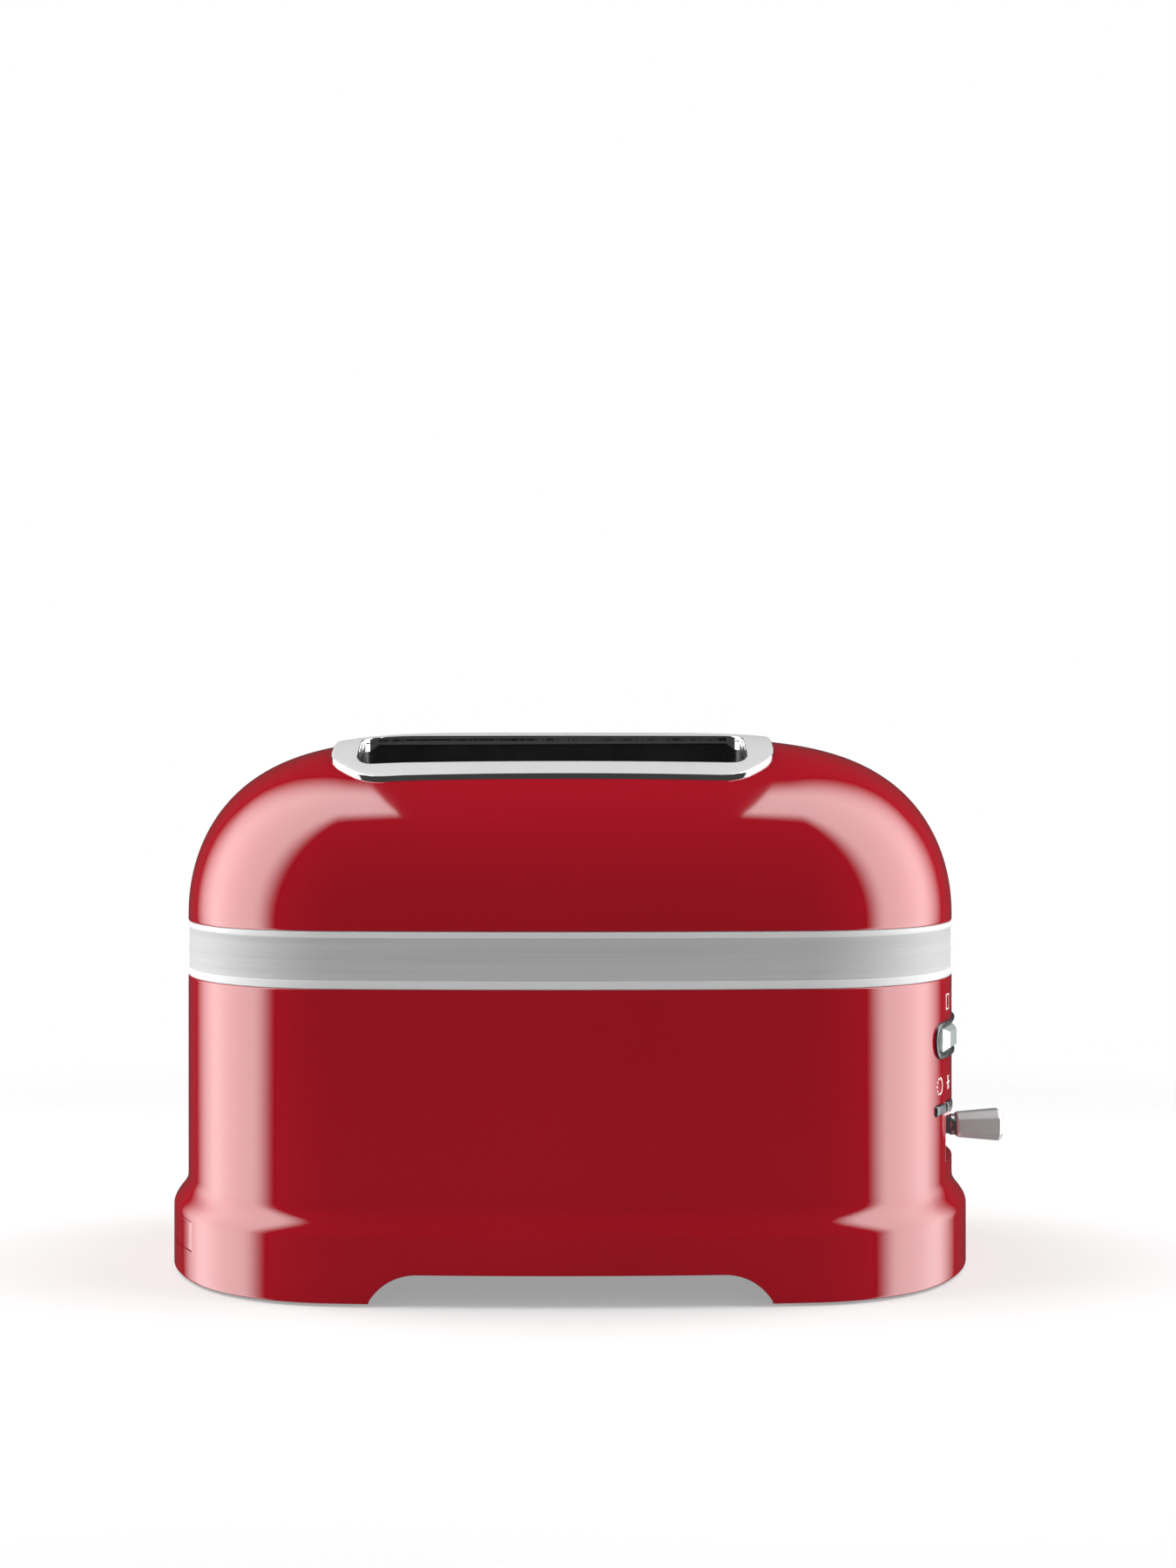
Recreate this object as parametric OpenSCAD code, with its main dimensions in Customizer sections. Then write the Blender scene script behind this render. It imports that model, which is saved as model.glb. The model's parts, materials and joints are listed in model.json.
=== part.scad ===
// Pop up toaster with two slots, a motor-driven bread lift and a control end.
// Millimetres, +Z up, +X towards the control end, underside of the feet at Z = 0.

/* [Body] */
// Half length of the body at the band
body_a = 151.5; // [145:0.5:156]
// Half width of the body at the band
body_b = 93; // [90:0.5:96]
// Radius of the end faces in plan
end_r = 114; // [105:1:125]
// Radius of the long sides in plan
side_r = 920; // [800:10:1200]
// Radius of the corners in plan
corner_r = 63.5; // [55:0.5:68]
// Thickness of the castings
wall = 2.5; // [2:0.1:3]

/* [Heights] */
// Underside of the flared base
skirt_z = 1; // [0.5:0.1:2]
// Top of the upright part of the base
skirt_top = 24; // [24:0.5:26]
// How far the base stands out from the body
flare = 5.5; // [5:0.1:6.5]
// Lower edge of the metal band
band_z = 114; // [112:0.5:115]
// Upper edge of the metal band
band_top = 135; // [133:0.5:137]
// Height at which the dome starts to curve
dome_z = 138; // [137.5:0.5:140]
// Rise of the dome above that height
dome_rise = 69; // [68:0.5:71]

/* [Base] */
// Half width of the arch at its foot
arch_half = 72.4; // [60:0.1:76]
// Height of the flat top of the arch
arch_z = 11.6; // [9:0.1:11.9]
// Radius of the arch corners
arch_r = 20; // [16:1:24]

/* [Slots] */
// Cord-side end of the bread slots
slot_x0 = -81; // [-82:0.5:-78]
// Control-side end of the bread slots
slot_x1 = 67; // [64:0.5:68]
// Distance from the middle plane to the near side of a slot
slot_y0 = 22; // [22:0.5:23]
// Width of a slot
slot_w = 32; // [30:0.5:32]
// How far the chrome bezel stands above the dome
bezel_rise = 2; // [1.5:0.1:2.5]

/* [Controls] */
// Height of the browning slider
slider_z = 90.6; // [88:0.1:92]
// Turn of the slider knob from the middle at rest, degrees
slider_rest = -18.5; // [-19:0.5:19]
// Height of the push buttons
button_z = 64.4; // [64:0.1:65]
// Distances of the push buttons from the middle plane
button_y = [-48.8, -35.8, 35.8, 48.8];
// Height of the lever axis
lever_z = 51.9; // [51:0.1:53]
// Reach of the lever knob from the middle of the body
lever_tip = 172.9; // [170:0.1:176]

/* [Hidden] */
$fn = 48;
eps = 0.01;
// Shift that centres the whole outline, knob included, on the origin
shift_x = -(lever_tip - body_a - flare) / 2;
// Centres of the plan arcs: end arc on the X axis, side arc on the Y axis, corner arc between
end_cx = body_a - end_r;
side_cy = body_b - side_r;
re = end_r - corner_r;
rs = side_r - corner_r;
dc = norm([end_cx, side_cy]);
along = (re * re - rs * rs + dc * dc) / (2 * dc);
across = sqrt(re * re - along * along);
toward = [-end_cx, side_cy] / dc;
corner_c = [end_cx + along * toward.x - across * toward.y, along * toward.y + across * toward.x];
ang_end = atan2(corner_c.y, corner_c.x - end_cx);
ang_side = atan2(corner_c.y - side_cy, corner_c.x);
corner_x0 = side_r * cos(ang_side);
corner_x1 = end_cx + end_r * cos(ang_end);
// Steps along the end, corner and side arcs of one quarter
n_end = 6;
n_corner = 8;
n_side = 3;
// Depth of the rounded end that the dome keeps in proportion to its width
end_depth = 95;
dome_pow_a = 1 / 4.7;
dome_pow_b = 1 / 2.15;
// Angles of the rings that build the dome
dome_steps = [10:10:80];
dome_last = 0.99;
// Bezel outline
bezel_c = -6.9;
bezel_half = [84.9, 62.3];
bezel_cut = 15;
opening_inset = 4;
// Underside of the slot collars, where the liners start
collar_z = 186;
// Oven
slot_mid = slot_y0 + slot_w / 2;
plate_t = 1;
plate_x1 = 72;
plate_x0 = -89;
plate_top = 182;
floor_z = 15;
guard_z = [58, 168];
guard_r = 1.25;
guard_open = 14.5;
guard_close = 6.5;
// Lift
lift_z = 119;
lift_h = 12;
lift_x = 76;
rod_x = 84;
rod_y = 30;
rod_r = 2.5;
rod_top = 152;
rack_x = [90, 98];
gear_m = 1;
gear_n = 20;
gear_z = 100;
pitch_r = gear_m * gear_n / 2;
rack_z = [95, 180];
// Lever
pivot_x = 118;
lever_r = 2;
// Tie screws and the bosses they run through
boss = [114.8, 72.8];
tie_r = 2;
upper_boss = 9;
// Pocket in the casting for the lever recess: half width, floor and top
pocket = [41, 41.6, 61.2];
// Slider surround: half length and height outside, of its body in the casting, and of its opening
ring_out = [54.6, 14];
ring_body = [53.2, 12.3];
ring_in = [52.2, 10];
// Cord gland: across the middle plane and up
gland = [46, 48];

// ---- outline and dome -------------------------------------------------------------------

function on_arc(c, r, t) = c + r * [cos(t), sin(t)];
// One quarter of the plan, grown outwards by d, from the X axis to the Y axis
function quarter(d) = concat(
    [for (i = [0:n_end - 1]) on_arc([end_cx, 0], end_r + d, ang_end * i / n_end)],
    [for (i = [0:n_corner - 1]) on_arc(corner_c, corner_r + d, ang_end + (ang_side - ang_end) * i / n_corner)],
    [for (i = [0:n_side]) on_arc([0, side_cy], side_r + d, ang_side + (90 - ang_side) * i / n_side)]);
function outline(d) = let (q = quarter(d), n = len(q) - 1) concat(
    [for (i = [0:n - 1]) q[i]],
    [for (i = [n:-1:1]) [-q[i].x, q[i].y]],
    [for (i = [0:n - 1]) [-q[i].x, -q[i].y]],
    [for (i = [n:-1:1]) [q[i].x, -q[i].y]]);
function ring_at(z, d) = [for (p = outline(d)) [p.x, p.y, z]];

function dome_a(h, d) = (body_a + d) * pow(1 - h * h, dome_pow_a);
function dome_b(h, d) = (body_b + d) * pow(1 - h * h, dome_pow_b);
function dome_ring(h, d) = let (s = dome_b(h, d) / body_b, flat = body_a - end_depth,
        top_flat = dome_a(h, d) - end_depth * s)
    [for (p = outline(0)) let (ax = abs(p.x)) [
        sign(p.x) * (ax > flat ? top_flat + (ax - flat) * s : ax * top_flat / flat),
        p.y * s, dome_z + (dome_rise + d) * h]];
// Half width of the plan at distance x from the middle
function half_width(x) = x < corner_x0 ? side_cy + sqrt(side_r ^ 2 - x ^ 2)
    : x < corner_x1 ? corner_c.y + sqrt(corner_r ^ 2 - (x - corner_c.x) ^ 2)
    : sqrt(max(0, end_r ^ 2 - (x - end_cx) ^ 2));
function inside(x, y, h, d) = let (s = dome_b(h, d) / body_b, flat = body_a - end_depth,
        top_flat = dome_a(h, d) - end_depth * s, ax = abs(x),
        px = ax > top_flat ? flat + (ax - top_flat) / s : ax * flat / top_flat)
    px <= body_a && abs(y) / s <= half_width(px);
function rise_at(x, y, d, lo = 0, hi = 0.9999, n = 16) = n == 0 ? lo : let (m = (lo + hi) / 2)
    inside(x, y, m, d) ? rise_at(x, y, d, m, hi, n - 1) : rise_at(x, y, d, lo, m, n - 1);
function dome_at(x, y, d) = dome_z + (dome_rise + d) * rise_at(x, y, d);

// Closed tube of rings, each joined to the next and the last to the first
module ring_sweep(rings) {
    m = len(rings);
    n = len(rings[0]);
    polyhedron(points = [for (r = rings) each r], faces = [for (i = [0:m - 1], j = [0:n - 1])
        let (k = (j + 1) % n, u = ((i + 1) % m) * n, v = i * n)
        each [[v + j, u + k, v + k], [v + j, u + j, u + k]]]);
}

// Block whose top follows the dome, raised by d
module loaf(d) {
    xs = [for (i = [0:12]) -97 + i * 178 / 12];
    ys = [for (j = [0:20]) -66 + j * 132 / 20];
    nx = len(xs);
    ny = len(ys);
    low = 160;
    top = [for (x = xs, y = ys) [x, y, dome_at(x, y, 0) + d]];
    base = [[xs[0], ys[0], low], [xs[nx - 1], ys[0], low], [xs[nx - 1], ys[ny - 1], low], [xs[0], ys[ny - 1], low]];
    b = nx * ny;
    polyhedron(points = concat(top, base), faces = concat(
        [for (i = [0:nx - 2], j = [0:ny - 2]) let (p = i * ny + j)
            each [[p, p + 1, p + ny + 1], [p, p + ny + 1, p + ny]]],
        [[b, b + 1, b + 2, b + 3]],
        [[for (i = [0:nx - 1]) i * ny, b + 1, b]],
        [[for (i = [nx - 1:-1:0]) i * ny + ny - 1, b + 3, b + 2]],
        [[for (j = [ny - 1:-1:0]) j, b, b + 3]],
        [[for (j = [0:ny - 1]) (nx - 1) * ny + j, b + 2, b + 1]]));
}

// Part of the upright wall between two offsets on one end, from z0 up to z1, up to half width w
module end_skin(d0, d1, z0, z1, w, side = 1) {
    translate([0, 0, z0]) linear_extrude(z1 - z0) difference() {
        intersection() {
            polygon(outline(d1));
            translate([side > 0 ? 90 : -180, -w]) square([90, 2 * w]);
        }
        polygon(outline(d0));
    }
}

module slab(x, y, z) {
    translate([x[0], y[0], z[0]]) cube([x[1] - x[0], y[1] - y[0], z[1] - z[0]]);
}

// Straight round rod from p to q
module rod(p, q, r) {
    v = q - p;
    translate(p) rotate([0, acos(v.z / norm(v)), atan2(v.y, v.x)]) cylinder(r = r, h = norm(v));
}

module stadium_x(half, h, x0, x1) {
    translate([x0, 0, 0]) rotate([90, 0, 90]) linear_extrude(x1 - x0) {
        square([2 * half - h, h], center = true);
        for (s = [-1, 1]) translate([s * (half - h / 2), 0]) circle(d = h);
    }
}

module octagon(grow, z0, z1) {
    a = bezel_half.x + grow;
    b = bezel_half.y + grow;
    c = bezel_cut + grow * 0.6;
    translate([bezel_c, 0, z0]) linear_extrude(z1 - z0) polygon([[a, b - c], [a - c, b],
        [c - a, b], [-a, b - c], [-a, c - b], [c - a, -b], [a - c, -b], [a, c - b]]);
}

// Bread slot prism on one side, grown outwards by g
module slot_prism(side, g, z0, z1) {
    r = 6 + g;
    x0 = slot_x0 - g + r;
    x1 = slot_x1 + g - r;
    translate([0, side * slot_mid, z0]) linear_extrude(z1 - z0) {
        for (x = [x0, x1], y = [-1, 1]) translate([x, y * (slot_w / 2 + g - r)]) circle(r);
        translate([x0, -slot_w / 2 - g]) square([x1 - x0, slot_w + 2 * g]);
        translate([x0 - r, r - slot_w / 2 - g]) square([x1 - x0 + 2 * r, slot_w + 2 * g - 2 * r]);
    }
}

module at_corners(x, y) {
    for (i = [-1, 1], j = [-1, 1]) translate([i * x, j * y, 0]) children();
}

// ---- shells and skin --------------------------------------------------------------------

module arch_cut() {
    flat = arch_half - arch_r * 0.855;
    t0 = 31;
    corner = [for (i = [0:8]) [flat, arch_z - arch_r] + arch_r * [cos(t0 + i * (90 - t0) / 8), sin(t0 + i * (90 - t0) / 8)]];
    rotate([90, 0, 0]) linear_extrude(240, center = true) polygon(concat(
        [[arch_half, -1]], corner, [for (i = [8:-1:0]) [-corner[i].x, corner[i].y]], [[-arch_half, -1]]));
}

module control_openings() {
    translate([0, 0, slider_z]) stadium_x(ring_body.x + 0.3, ring_body.y + 0.3, 120, 160);
    for (y = button_y) slab([120, 160], [y - 5.6, y + 5.6], [button_z - 2.2, button_z + 2.2]);
    slab([120, 160], [-pocket[0], pocket[0]], [pocket[1], pocket[2]]);
}

module lower_shell() {
    boss_top = 50;
    color("#A01022") difference() {
        union() {
            ring_sweep([ring_at(skirt_z, flare - 0.8), ring_at(skirt_z + 0.8, flare),
                ring_at(skirt_top, flare), ring_at(skirt_top + 1.5, flare - 0.2),
                ring_at(skirt_top + 3.2, flare - 0.9), ring_at(skirt_top + 5.5, flare - 2.6),
                ring_at(skirt_top + 7.5, 1.2), ring_at(skirt_top + 9.2, 0.3),
                ring_at(skirt_top + 11, 0), ring_at(band_z, 0), ring_at(band_z, -wall),
                ring_at(skirt_top + 4, -wall), ring_at(skirt_top, flare - 3),
                ring_at(skirt_z, flare - 3)]);
            at_corners(boss.x, boss.y) translate([0, 0, floor_z]) cylinder(r = 5, h = boss_top - floor_z);
        }
        arch_cut();
        control_openings();
        at_corners(boss.x, boss.y) cylinder(r = tie_r + 0.03, h = boss_top + 1);
        slab([-170, -120], [-57.6, 57.6], [12, 23.8]);
        translate([-160, gland.x, gland.y]) rotate([0, 90, 0]) cylinder(r = 8.3, h = 50);
    }
}

module upper_shell() {
    rises = concat([0], [for (t = dome_steps) sin(t)], [dome_last]);
    last = len(rises) - 1;
    boss_z = band_top + 1;
    color("#A01022") difference() {
        union() {
            ring_sweep(concat([ring_at(band_top, 0)], [for (h = rises) dome_ring(h, 0)],
                [for (i = [last:-1:0]) dome_ring(rises[i], -wall)], [ring_at(band_top, -wall)]));
            at_corners(boss.x, boss.y) translate([0, 0, boss_z]) cylinder(r = 4.5, h = upper_boss);
        }
        octagon(-opening_inset, 170, 230);
        at_corners(boss.x, boss.y) cylinder(r = tie_r + 0.03, h = boss_z + upper_boss - 2);
    }
}

module band() {
    top_border = 2.3;
    low_border = 3;
    color("#B8BABC") for (part = [[band_z, low_border, 0], [band_z + low_border, band_top - band_z - top_border - low_border, -0.4],
            [band_top - top_border, top_border, 0]])
        translate([0, 0, part[0]]) linear_extrude(part[1]) difference() {
            polygon(outline(part[2]));
            polygon(outline(-wall));
        }
}

module bezel() {
    collar = 1;
    color("#D5D7DA") difference() {
        intersection() {
            loaf(bezel_rise);
            octagon(0, collar_z, 230);
        }
        difference() {
            loaf(0.3);
            for (s = [-1, 1]) slot_prism(s, collar, 150, 230);
            difference() {
                octagon(-opening_inset - 0.4, 150, 230);
                octagon(-opening_inset - 1.9, 150, 230);
            }
        }
        for (s = [-1, 1]) slot_prism(s, 0, 150, 230);
    }
}

module slot_liner(side) {
    gap = 0.2;
    t = 0.8;
    color("#1A1A1C") difference() {
        slot_prism(side, gap + t, 172, collar_z);
        slot_prism(side, gap, 170, 200);
    }
}
module slot_liner_front() { slot_liner(-1); }
module slot_liner_rear() { slot_liner(1); }

module base_plate() {
    rail = [57.6, 58.3];
    top = floor_z;
    color("#202023") difference() {
        union() {
            translate([0, 0, 12]) linear_extrude(top - 12) polygon(outline(1.9));
            for (s = [-1, 1]) scale([1, s, 1]) slab([-126, 70], rail, [top - eps, top + 4]);
            // Cleats that the cord winds round
            for (s = [-1, 1]) translate([s * 60, 0, 6]) slab([-3, 3], [-22, 22], [0, 6 + eps]);
            for (s = [-1, 1]) slab([s > 0 ? 60 : -76, s > 0 ? 76 : -60], [-22, 22], [4.5, 6 + eps]);
        }
        at_corners(boss.x, boss.y) cylinder(r = 2.3, h = 40);
        for (x = [-40:10:40], y = [-35:35:35]) translate([x, y, 0])
            slab([-2, 2], [-12, 12], [10, 20]);
        for (y = [-16, 16]) translate([107, y, 0]) cylinder(r = 1.5, h = 40);
        for (y = [-50, 50]) translate([127, y, 0]) cylinder(r = 1.5, h = 40);
    }
}

module rubber_feet() {
    color("#18181A") at_corners(100, 62) rotate_extrude()
        polygon([[0, 0], [7.5, 0], [9, 1.5], [9, 12], [0, 12]]);
}

module tie_screws() {
    color("#9EA1A5") at_corners(boss.x, boss.y) {
        translate([0, 0, 9.5]) cylinder(r = 3.6, h = 2.5);
        translate([0, 0, 12 - eps]) cylinder(r = tie_r, h = band_top + upper_boss - 2 - 12);
    }
}

module chassis_screws() {
    color("#9EA1A5") for (p = [[107, 16, 1.5], [107, -16, 1.5], [127, 50, 2], [127, -50, 2]])
        translate([p.x, p.y, 12]) {
            cylinder(r = 1.47, h = floor_z - 12 + p.z + eps);
            translate([0, 0, floor_z - 12 + p.z]) cylinder(r = 2.8, h = 1.8);
        }
}

// Pan with a front that closes the base, pulled out at the cord end
module crumb_tray() {
    x = [-134, 66];
    w = 57;
    t = 0.8;
    z = [floor_z + 0.3, floor_z + 6.3];
    color("#A9ACAF") {
        difference() {
            slab(x, [-w, w], z);
            slab([x[0] + t, x[1] - t], [t - w, w - t], [z[0] + t, z[1] + 1]);
        }
        translate([0, 0, z[0]]) linear_extrude(t) intersection() {
            polygon(outline(flare - 2.5));
            translate([-170, -w]) square([170 + x[0] + eps, 2 * w]);
        }
        difference() {
            end_skin(flare - 2.6, flare, 12.4, 23.4, w, -1);
            // Finger edge under the front
            end_skin(flare - 1.4, flare + 1, 12, 14.6, 22, -1);
        }
    }
}

// ---- oven -------------------------------------------------------------------------------

// End plate of the oven with the slots that the carriages and guard pins slide in
module oven_plate(x) {
    arm = 3.2;
    pin = guard_r + 0.5;
    color("#A9ACAF") difference() {
        slab([x, x + plate_t], [-64, 64], [floor_z, plate_top]);
        slab([x - 1, x + 2], [-58.6, 58.6], [floor_z - 1, 25]);
        for (s = [-1, 1], z = guard_z) scale([1, s, 1]) {
            slab([x - 1, x + 2], [slot_mid - arm, slot_mid + arm], [lift_z - 79, lift_z + 8]);
            slab([x - 1, x + 2], [slot_mid + guard_open - guard_close - pin, slot_mid + guard_open + pin], [z - pin, z + pin]);
            slab([x - 1, x + 2], [slot_mid - guard_open - pin, slot_mid - guard_open + guard_close + pin], [z - pin, z + pin]);
        }
    }
}
module oven_plate_control() { oven_plate(plate_x1); }
// The cord-side plate also carries the spacers of the power board
module oven_plate_cord() {
    oven_plate(plate_x0);
    color("#A9ACAF") for (y = [-29, 29], z = [46, 92]) translate([-102, y, z]) rotate([0, 90, 0])
        cylinder(r = 2.5, h = 102 + plate_x0 + eps);
}

module reflector(side) {
    color("#C4C6C8") scale([1, side, 1]) {
        slab([plate_x0 + plate_t, plate_x1], [62, 62.8], [40, 178]);
        slab([plate_x0 + plate_t, plate_x1], [59, 62.8], [39.2, 40 + eps]);
    }
}
module reflector_front() { reflector(-1); }
module reflector_rear() { reflector(1); }

module centre_reflector() {
    color("#C4C6C8") difference() {
        slab([plate_x0 + plate_t, plate_x1], [-12, 12], [50, 176.8]);
        slab([plate_x0, plate_x1 + 1], [-11.2, 11.2], [49, 176]);
    }
}

// Mica board; face is the distance of its heated face from the middle plane, out the side it lies on
module heater_board(side, face, out) {
    t = 0.8;
    color("#B9A27C") scale([1, side, 1])
        slab([-86, 70], out > 0 ? [face, face + t] : [face - t, face], [55, 172]);
}
face_outer = 57;
face_inner = 19.3;
module heater_board_front_outer() { heater_board(-1, face_outer, 1); }
module heater_board_front_inner() { heater_board(-1, face_inner, -1); }
module heater_board_rear_inner() { heater_board(1, face_inner, -1); }
module heater_board_rear_outer() { heater_board(1, face_outer, 1); }

// Flat resistance ribbon laid to and fro over the heated face
module heating_ribbon(side, face, out) {
    t = 0.4;
    w = 1.6;
    pitch = 12;
    rows = 9;
    y = out > 0 ? [face - t, face] : [face, face + t];
    color("#6E6A66") scale([1, side, 1]) for (i = [0:rows - 1]) {
        slab([-80, 64], y, [60 + i * pitch, 60 + i * pitch + w]);
        if (i < rows - 1) translate([i % 2 == 0 ? 64 - w : -80, 0, 60 + i * pitch])
            slab([0, w], y, [0, pitch + w]);
    }
}
module heating_ribbon_front_outer() { heating_ribbon(-1, face_outer, 1); }
module heating_ribbon_front_inner() { heating_ribbon(-1, face_inner, -1); }
module heating_ribbon_rear_inner() { heating_ribbon(1, face_inner, -1); }
module heating_ribbon_rear_outer() { heating_ribbon(1, face_outer, 1); }

// Wire guard that swings in to hold the bread upright
module guard(y) {
    wires = 13;
    color("#C9CBCE") translate([0, y, 0]) {
        for (z = guard_z) rod([-92, 0, z], [plate_x1 + 3.4, 0, z], guard_r);
        for (i = [0:wires - 1]) rod([-80 + i * 12, 0, guard_z[0]], [-80 + i * 12, 0, guard_z[1]], 0.8);
    }
}
module guard_front_outer() { guard(-slot_mid - guard_open); }
module guard_front_inner() { guard(-slot_mid + guard_open); }
module guard_rear_inner() { guard(slot_mid - guard_open); }
module guard_rear_outer() { guard(slot_mid + guard_open); }

// ---- lift -------------------------------------------------------------------------------

// Toothed shelf that the bread stands on, with an arm through each end plate
module carriage(side) {
    half = 5.5;
    shelf = lift_z + 5;
    color("#B7BABD") translate([0, side * slot_mid, 0]) {
        slab([-84, 67], [-half, half], [shelf, shelf + 1.2]);
        slab([-92, -84 + eps], [-2.5, 2.5], [shelf - 3, shelf + 1.2]);
        slab([67 - eps, lift_x], [-2.5, 2.5], [lift_z, shelf + 1.2]);
        slab([-84, 67], [-0.6, 0.6], [shelf - 4, shelf + eps]);
        for (i = [0:11], j = [-1, 1]) translate([-78 + i * 12.5, j * (half - 0.6), shelf + 1.2 - eps])
            slab([-2, 2], [-0.6, 0.6], [0, 3]);
    }
}
module carriage_front() { carriage(-1); }
module carriage_rear() { carriage(1); }

module lift_bracket() {
    z = [lift_z, lift_z + lift_h];
    color("#8E9195") difference() {
        union() {
            slab([lift_x, lift_x + 4], [-46, 46], z);
            for (s = [-1, 1]) slab([lift_x + 4 - eps, lift_x + 13.5], [s * rod_y - 6, s * rod_y + 6], z);
            slab([lift_x + 4 - eps, rack_x[0]], [pitch_r + 1.5, pitch_r + 6], z);
        }
        for (s = [-1, 1]) translate([rod_x, s * rod_y, lift_z - 1]) cylinder(r = rod_r + 1, h = lift_h + 2);
    }
}

module guide_bushes() {
    color("#B08D57") for (s = [-1, 1]) translate([rod_x, s * rod_y, lift_z]) difference() {
        cylinder(r = rod_r + 1, h = lift_h);
        translate([0, 0, -1]) cylinder(r = rod_r + 0.05, h = lift_h + 2);
    }
}

module guide_rods() {
    color("#D0D2D5") for (s = [-1, 1]) translate([rod_x, s * rod_y, floor_z])
        cylinder(r = rod_r, h = rod_top - floor_z);
}

module rod_bridge() {
    color("#A9ACAF") difference() {
        union() {
            slab([plate_x1 + plate_t, rod_x + 5], [-36, 36], [rod_top - 2, rod_top]);
            slab([plate_x1 + plate_t, plate_x1 + plate_t + 1.2], [-36, 36], [rod_top - 14, rod_top - 1]);
        }
        for (s = [-1, 1]) translate([rod_x, s * rod_y, rod_top - 5]) cylinder(r = rod_r + 0.02, h = 10);
    }
}

// Straight-flanked rack; its pitch line is pitch_r from the pinion axis
module lift_rack() {
    p = PI * gear_m;
    slack = 0.1;
    n = floor((rack_z[1] - rack_z[0]) / p) - 1;
    start = gear_z + p / 2 - p * floor((gear_z - rack_z[0]) / p);
    add = gear_m;
    root = 1.25 * gear_m;
    half = p / 4 - slack;
    slope = tan(20);
    teeth = [for (i = [0:n - 1]) let (z = start + i * p) each [
        [root, z - half - root * slope], [-add, z - half + add * slope],
        [-add, z + half - add * slope], [root, z + half + root * slope]]];
    color("#E4E2DC") translate([rack_x[0], pitch_r, 0]) rotate([90, 0, 90])
        linear_extrude(rack_x[1] - rack_x[0])
        polygon(concat([[root, rack_z[0]]], teeth, [[root, rack_z[1]], [6, rack_z[1]], [6, rack_z[0]]]));
}

// Involute pinion on its shaft
module pinion() {
    base_r = pitch_r * cos(20);
    outer = pitch_r + gear_m;
    root = pitch_r - 1.25 * gear_m;
    inv = function (r) let (a = acos(min(1, base_r / r))) tan(a) * 180 / PI - a;
    half = 90 / gear_n - 0.35;
    steps = 4;
    flank = [for (i = [0:steps]) let (r = base_r + (outer - base_r) * i / steps)
        [r, half + inv(pitch_r) - inv(r)]];
    tooth = concat([[root, half + inv(pitch_r)]], flank);
    shape = [for (k = [0:gear_n - 1]) each concat(
        [for (i = [0:len(tooth) - 1]) tooth[i].x * [cos(k * 360 / gear_n - tooth[i].y), sin(k * 360 / gear_n - tooth[i].y)]],
        [for (i = [len(tooth) - 1:-1:0]) tooth[i].x * [cos(k * 360 / gear_n + tooth[i].y), sin(k * 360 / gear_n + tooth[i].y)]])];
    color("#D8D4C8") translate([0, 0, gear_z]) {
        translate([rack_x[0] + 0.5, 0, 0]) rotate([90, 0, 90]) linear_extrude(7) polygon(shape);
        translate([rack_x[0] + 0.5, 0, 0]) rotate([0, 90, 0]) cylinder(r = 2, h = 16);
    }
}

module motor_bracket() {
    x = 98.5;
    t = 1.5;
    color("#A9ACAF") difference() {
        union() {
            slab([x, x + t], [-22, 22], [floor_z, 120]);
            slab([x, x + 14], [-22, 22], [floor_z, floor_z + t]);
        }
        translate([x - 1, 0, gear_z]) rotate([0, 90, 0]) cylinder(r = 3, h = 5);
        for (y = [-16, 16]) translate([107, y, 0]) cylinder(r = 1.5, h = 40);
    }
}

module gear_motor() {
    x = 100;
    color("#8A8D90") translate([x, 0, gear_z]) rotate([0, 90, 0]) difference() {
        union() {
            cylinder(r = 18, h = 6);
            translate([0, 0, 6 - eps]) cylinder(r = 16, h = 12);
            for (s = [-1, 1]) translate([-3, s * 17 - 4, 0]) cube([6, 8, 1.5]);
        }
        translate([0, 0, -1]) cylinder(r = 2.05, h = 10);
    }
}

// ---- lever ------------------------------------------------------------------------------

module lever_bracket() {
    x = 100;
    color("#A9ACAF") difference() {
        union() {
            slab([x, x + 1.5], [-8, 8], [40, 66]);
            for (s = [-1, 1]) scale([1, s, 1]) slab([x, pivot_x + 5], [6.5, 8], [40, 57.5]);
        }
        translate([pivot_x, 0, lever_z]) rotate([90, 0, 0]) cylinder(r = lever_r + 0.02, h = 40, center = true);
    }
}

module lever_pin() {
    color("#D0D2D5") translate([pivot_x, 0, lever_z]) rotate([90, 0, 0])
        cylinder(r = lever_r, h = 18, center = true);
}

// Coil round the pin, beside the hub
module lever_spring() {
    turns = 2.25;
    wire = 0.35;
    r = 2.9;
    steps = 36;
    sides = 8;
    y0 = 4.45;
    rings = [for (i = [0:steps]) let (t = 360 * turns * i / steps, y = y0 + 1.6 * i / steps)
        [for (k = [0:sides - 1]) let (u = 360 * k / sides, q = r + wire * cos(u))
            [q * cos(t), y + wire * sin(u), q * sin(t)]]];
    n = sides;
    color("#C0C2C5") translate([pivot_x, 0, lever_z]) polyhedron(
        points = [for (g = rings) each g],
        faces = concat([[for (k = [0:n - 1]) k]], [[for (k = [n - 1:-1:0]) steps * n + k]],
            [for (i = [0:steps - 1], k = [0:n - 1]) let (m = (k + 1) % n)
                each [[i * n + k, (i + 1) * n + k, (i + 1) * n + m], [i * n + k, (i + 1) * n + m, i * n + m]]]));
}

module lever_switch() {
    color("#2A2A2E") {
        slab([101.5, 114], [-4, 4], [lever_z + 6.4, lever_z + 14]);
        slab([107, 110], [-1.5, 1.5], [lever_z + 4, lever_z + 6.4 + eps]);
    }
}

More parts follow.
